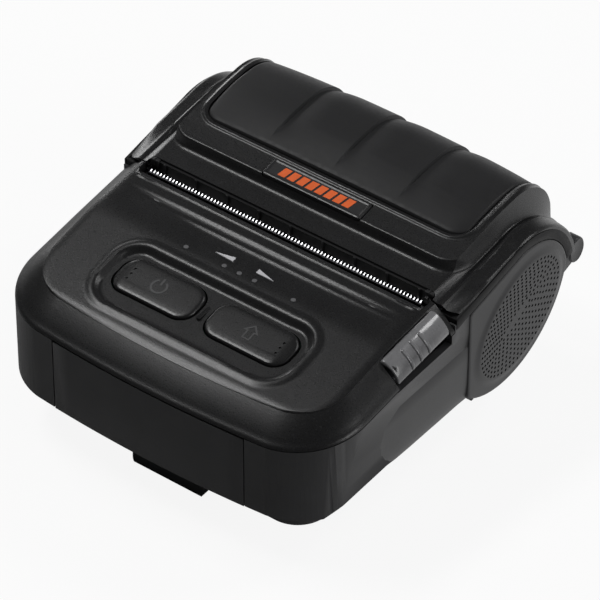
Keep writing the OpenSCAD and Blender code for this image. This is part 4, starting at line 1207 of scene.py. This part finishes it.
def clear_plastic(name, colour, rough):
    shade = Shade(name)
    spot = shade.place()
    cloud = shade.noise(spot, 0.5, 3.0)
    tone = shade.mix(cloud.step(0.3, 0.7), tuple(c * 0.9 for c in colour) + (1.0,), tuple(colour) + (1.0,))
    return shade.set(Base_Color=tone, Roughness=cloud.step(0.2, 0.8, rough - 0.05, rough + 0.05),
                     Normal=shade.bump(cloud, 0.01))


def latch_plastic(look):
    """Pale tinted plastic with a painted highlight along its top and painted shade below it"""
    shade = Shade("latch_plastic")
    spot = shade.place()
    cloud = shade.noise(spot, 0.35, 3.0)
    # Painted light: by height, the top is painted pale as a highlight and the lower part dark as shade
    pale, deep = look.latch_level, look.latch_level * 0.42
    high = spot.part("Z").step(33.4, 35.6)
    tone = shade.mix(high, grey(deep, 1.05), grey(pale, 1.03))
    tone = shade.mix(cloud.step(0.3, 0.7) * 0.25, tone, grey(pale))
    return shade.set(
        Base_Color=tone, Roughness=cloud.step(0.2, 0.8, 0.22, 0.34), Normal=shade.bump(cloud, 0.01),
        Coat_Weight=0.4)


def blade_steel():
    """Bare steel teeth over a web and foot painted near-black as shade"""
    shade = Shade("blade_steel")
    spot = shade.place()
    scratch = shade.noise(spot, 5.0, 3.0, 0.6)
    # Painted shade: below the teeth the steel is painted near-black
    tone = shade.mix(spot.part("Y").step(-1.25, -0.75), (0.012, 0.012, 0.013, 1), (0.5, 0.5, 0.51, 1))
    return shade.set(Base_Color=tone, Metallic=1.0, Roughness=scratch.step(0.25, 0.75, 0.28, 0.4),
                     Normal=shade.bump(scratch, 0.004))


def board_finish():
    """Green solder mask with tracks and pads"""
    shade = Shade("board_finish")
    spot = shade.place()
    cell = shade.node(
        "ShaderNodeTexVoronoi", {"feature": "DISTANCE_TO_EDGE"}, {"Vector": spot, "Scale": 0.28})
    track = 1 - cell.step(0.02, 0.06)
    tone = shade.mix(track, (0.012, 0.07, 0.035, 1), (0.03, 0.16, 0.08, 1))
    return shade.set(
        Base_Color=tone, Roughness=cell.step(0.0, 0.5, 0.3, 0.42), Normal=shade.bump(track, 0.03))


def wrap_finish():
    """Blue sleeve of the cells, with bare metal towards their ends"""
    shade = Shade("wrap_finish")
    spot = shade.place()
    cloud = shade.noise(spot, 0.3, 2.0)
    band = spot.part("X").math("ABSOLUTE").step(21.5, 21.8)
    tone = shade.mix(band, (0.06, 0.15, 0.42, 1), (0.55, 0.56, 0.58, 1))
    return shade.set(
        Base_Color=tone, Roughness=cloud.step(0.3, 0.7, 0.2, 0.32), Normal=shade.bump(cloud, 0.02))


def finishes(look):
    steel = (0.56, 0.57, 0.59)
    return {
        "case_shell": case_plastic(look),
        "cover_black": cover_plastic(look),
        "black_plastic": moulded("inner_plastic", 0.016, 0.5, grain=0.02),
        "gloss_black": gloss_plastic(look),
        "button_grey": moulded("button_plastic", look.button_level, 0.3, grain=0.006, pitch=0.3),
        "latch_grey": latch_plastic(look),
        "plate_dark": moulded("plate_finish", 0.02, 0.34, grain=0.006, pitch=0.5),
        "steel": metal("plate_steel", steel, 0.36, "Y"),
        "bright_steel": metal("bright_steel", (0.66, 0.67, 0.69), 0.22, "X"),
        "alu": metal("milled_aluminium", (0.7, 0.7, 0.71), 0.32, "X"),
        "brass_gear": metal("brass", (0.78, 0.6, 0.28), 0.28),
        "gear_nylon": moulded("gear_nylon", 0.62, 0.45, grain=0.01),
        "soft_rubber": moulded("rubber", 0.018, 0.72, grain=0.02, pitch=0.35),
        "board_green": board_finish(),
        "lamp_clear": clear_plastic("lamp_plastic", (0.13, 0.13, 0.135), 0.3),
        "cell_wrap": wrap_finish(),
        "film_amber": clear_plastic("amber_film", (0.42, 0.22, 0.05), 0.3),
    }


# What a user can change


class PrinterLook(bpy.types.PropertyGroup):
    case_level: bpy.props.FloatProperty(
        name="Case grey", description="Lightness of the lower case's plastic", default=0.034, min=0.005,
        max=0.9)
    case_rough: bpy.props.FloatProperty(
        name="Case roughness", description="Roughness of the lower case", default=0.4, min=0.1, max=1.0,
        subtype="FACTOR")
    cover_level: bpy.props.FloatProperty(
        name="Cover black", description="Lightness of the cover and lid", default=0.012, min=0.003, max=0.9)
    cover_rough: bpy.props.FloatProperty(
        name="Cover roughness", description="Roughness of the cover and lid", default=0.3, min=0.1, max=1.0,
        subtype="FACTOR")
    gloss_level: bpy.props.FloatProperty(
        name="Gloss black", description="Lightness of the inset panel and belt clip", default=0.02, min=0.002,
        max=0.9)
    gloss_rough: bpy.props.FloatProperty(
        name="Gloss roughness", description="Roughness of the inset panel and belt clip", default=0.48,
        min=0.02, max=1.0, subtype="FACTOR")
    button_level: bpy.props.FloatProperty(
        name="Button black", description="Lightness of the two buttons", default=0.011, min=0.003, max=0.9)
    latch_level: bpy.props.FloatProperty(
        name="Latch grey", description="Lightness of the release latch", default=0.19, min=0.05, max=0.95)
    mark_level: bpy.props.FloatProperty(
        name="Printed marks", description="Lightness of the printed wedges", default=0.6, min=0.05,
        max=0.95)


class PrinterSizes(bpy.types.PropertyGroup):
    hole_radius: bpy.props.FloatProperty(
        name="Sound hole", description="Radius of a sound hole in the side caps, in millimetres", default=0.4,
        min=0.2, max=0.5)
    tooth_pitch: bpy.props.FloatProperty(
        name="Tooth pitch", description="Distance between the tear bar's teeth, in millimetres", default=1.0,
        min=0.8, max=2.0)


SLOTS = {row["node"]: row["material_slot"] for row in frame["record"]["subparts"]}
MATERIALS = {}


def put(ob, name, body, slot, nodes=(), material=None, angle=35.0):
    if not MATERIALS:
        MATERIALS.update(finishes(bpy.context.scene.printer_look))
    return finish(ob, name, material or MATERIALS[slot], body, slot, nodes, angle)


class PRINTER_OT_front_cover(bpy.types.Operator):
    """Cover with the button panel, its lamps' holes, the paper slot's front and the latch's pocket"""

    bl_idname = "printer.front_cover"
    bl_label = "Front cover"

    def execute(self, context):
        put(front_cover(), "cover_shell", "printer", "cover_black", ["front_cover"], angle=28)
        pitch = context.scene.printer_sizes.tooth_pitch
        put(tear_bar(pitch), "tear_blade", "printer", SLOTS["tear_bar"], ["tear_bar"], material=blade_steel())
        marks = moulded("mark_ink", context.scene.printer_look.mark_level, 0.5, grain=0.004)
        put(panel_marks(), "charge_wedges", "printer", "cover_black", material=marks)
        return {"FINISHED"}


class PRINTER_OT_buttons(bpy.types.Operator):
    """The power and feed keys with their symbols"""

    bl_idname = "printer.buttons"
    bl_label = "Buttons"

    def execute(self, context):
        marks = moulded("symbol_ink", 0.05, 0.4, grain=0.004)
        put(button(-1), "power_key_cap", "power_key", "button_grey", ["power_button"])
        put(button(1), "feed_key_cap", "feed_key", "button_grey", ["feed_button"])
        put(power_symbol(), "power_symbol", "power_key", "button_grey", material=marks)
        put(feed_symbol(), "feed_symbol", "feed_key", "button_grey", material=marks)
        return {"FINISHED"}


class PRINTER_OT_latch(bpy.types.Operator):
    """Release latch with its finger ridges"""

    bl_idname = "printer.latch"
    bl_label = "Release latch"

    def execute(self, context):
        put(latch(), "latch_slider", "latch", "latch_grey", ["release_latch"])
        return {"FINISHED"}


class PRINTER_OT_lid(bpy.types.Operator):
    """Paper lid, its inset panel, name plate and lip guide"""

    bl_idname = "printer.lid"
    bl_label = "Paper lid"

    def execute(self, context):
        put(paper_lid(), "lid_shell", "lid", "cover_black", ["paper_lid"], angle=30)
        put(inset_panel(), "lid_panel", "lid", "gloss_black", ["lid_inset_panel"], angle=40)
        put(name_plate(), "bare_plate", "lid", "plate_dark", ["name_plate"])
        orange = clear_plastic("orange_ink", (0.85, 0.13, 0.012), 0.45)
        put(plate_mark(), "plate_mark", "lid", "plate_dark", material=orange)
        put(lip_guide(), "lip_fins", "lid", "gloss_black", ["lip_guide"])
        return {"FINISHED"}


class PRINTER_OT_caps(bpy.types.Operator):
    """Round end caps with the sound holes"""

    bl_idname = "printer.caps"
    bl_label = "Side caps"

    def execute(self, context):
        right = side_cap(context.scene.printer_sizes.hole_radius)
        left = mirrored(right, "left")
        put(right, "grille_right", "printer", "case_shell", ["side_cap_right"])
        put(left, "grille_left", "printer", "case_shell", ["side_cap_left"])
        return {"FINISHED"}


class PRINTER_OT_case(bpy.types.Operator):
    """Lower case, battery front, side fairings, the lid's side trim and the strap's ears"""

    bl_idname = "printer.case"
    bl_label = "Case"

    def execute(self, context):
        put(lower_case(), "case_shell", "printer", "case_shell", ["lower_case"], angle=30)
        put(battery(), "battery_shell", "battery", "case_shell", ["battery_case"], angle=30)
        black = moulded("trim_black", 0.008, 0.5, grain=0.006, shine=0.12)
        for name, body, slot, material, make in (
                ("trim", "lid", "cover_black", black, lid_trim),
                ("skirt", "printer", "case_shell", None, side_skirt),
                ("strap_end", "printer", "case_shell", None, strap_end)):
            right = make()
            left = mirrored(right, "left")
            put(right, name + "_right", body, slot, material=material)
            put(left, name + "_left", body, slot, material=material)
        return {"FINISHED"}


class PRINTER_OT_inner_parts(bpy.types.Operator):
    """Gives every part that keeps its CAD form the finish of its material slot"""

    bl_idname = "printer.inner_parts"
    bl_label = "Carried-over parts"

    def execute(self, context):
        if not MATERIALS:
            MATERIALS.update(finishes(context.scene.printer_look))
        for name, ob in frame["nodes"].items():
            ob.data.materials.clear()
            ob.data.materials.append(MATERIALS[SLOTS[name]])
        return {"FINISHED"}


class PRINTER_OT_stage(bpy.types.Operator):
    """Camera, pale floor and soft studio lights"""

    bl_idname = "printer.stage"
    bl_label = "Stage"

    def execute(self, context):
        context.scene.view_settings.view_transform = "Standard"
        camera()
        floor()
        sky()
        aim = (0.0, 0.0, 0.03)
        lamp("over", (-0.45, -0.1, 0.89), aim, (0.5, 0.15), 4.4)
        lamp("rear_right", (0.4, 0.66, 0.76), aim, (0.3, 0.3), 2.4)
        lamp("rear_left", (-1.0, 0.6, 0.28), aim, (0.4, 0.3), 2.2)
        lamp("right", (1.05, 0.1, 0.4), aim, (0.5, 0.5), 3.5)
        return {"FINISHED"}


PIECES = (
    PRINTER_OT_inner_parts, PRINTER_OT_front_cover, PRINTER_OT_buttons, PRINTER_OT_latch,
    PRINTER_OT_lid, PRINTER_OT_caps, PRINTER_OT_case, PRINTER_OT_stage)


class PRINTER_PT_panel(bpy.types.Panel):
    bl_idname = "PRINTER_PT_panel"
    bl_label = "Label printer"
    bl_space_type = "VIEW_3D"
    bl_region_type = "UI"
    bl_category = "Printer"

    def draw(self, context):
        for group in (context.scene.printer_look, context.scene.printer_sizes):
            for key in group.__annotations__:
                self.layout.prop(group, key)
        for piece in PIECES:
            self.layout.operator(piece.bl_idname)


CLASSES = (PrinterLook, PrinterSizes, *PIECES, PRINTER_PT_panel)


def register():
    for cls in CLASSES:
        bpy.utils.register_class(cls)
    bpy.types.Scene.printer_look = bpy.props.PointerProperty(type=PrinterLook)
    bpy.types.Scene.printer_sizes = bpy.props.PointerProperty(type=PrinterSizes)


def unregister():
    del bpy.types.Scene.printer_sizes
    del bpy.types.Scene.printer_look
    for cls in reversed(CLASSES):
        bpy.utils.unregister_class(cls)


def main():
    register()
    for piece in PIECES:
        section, name = piece.bl_idname.split(".")
        getattr(getattr(bpy.ops, section), name)()


if __name__ == "__main__":
    main()
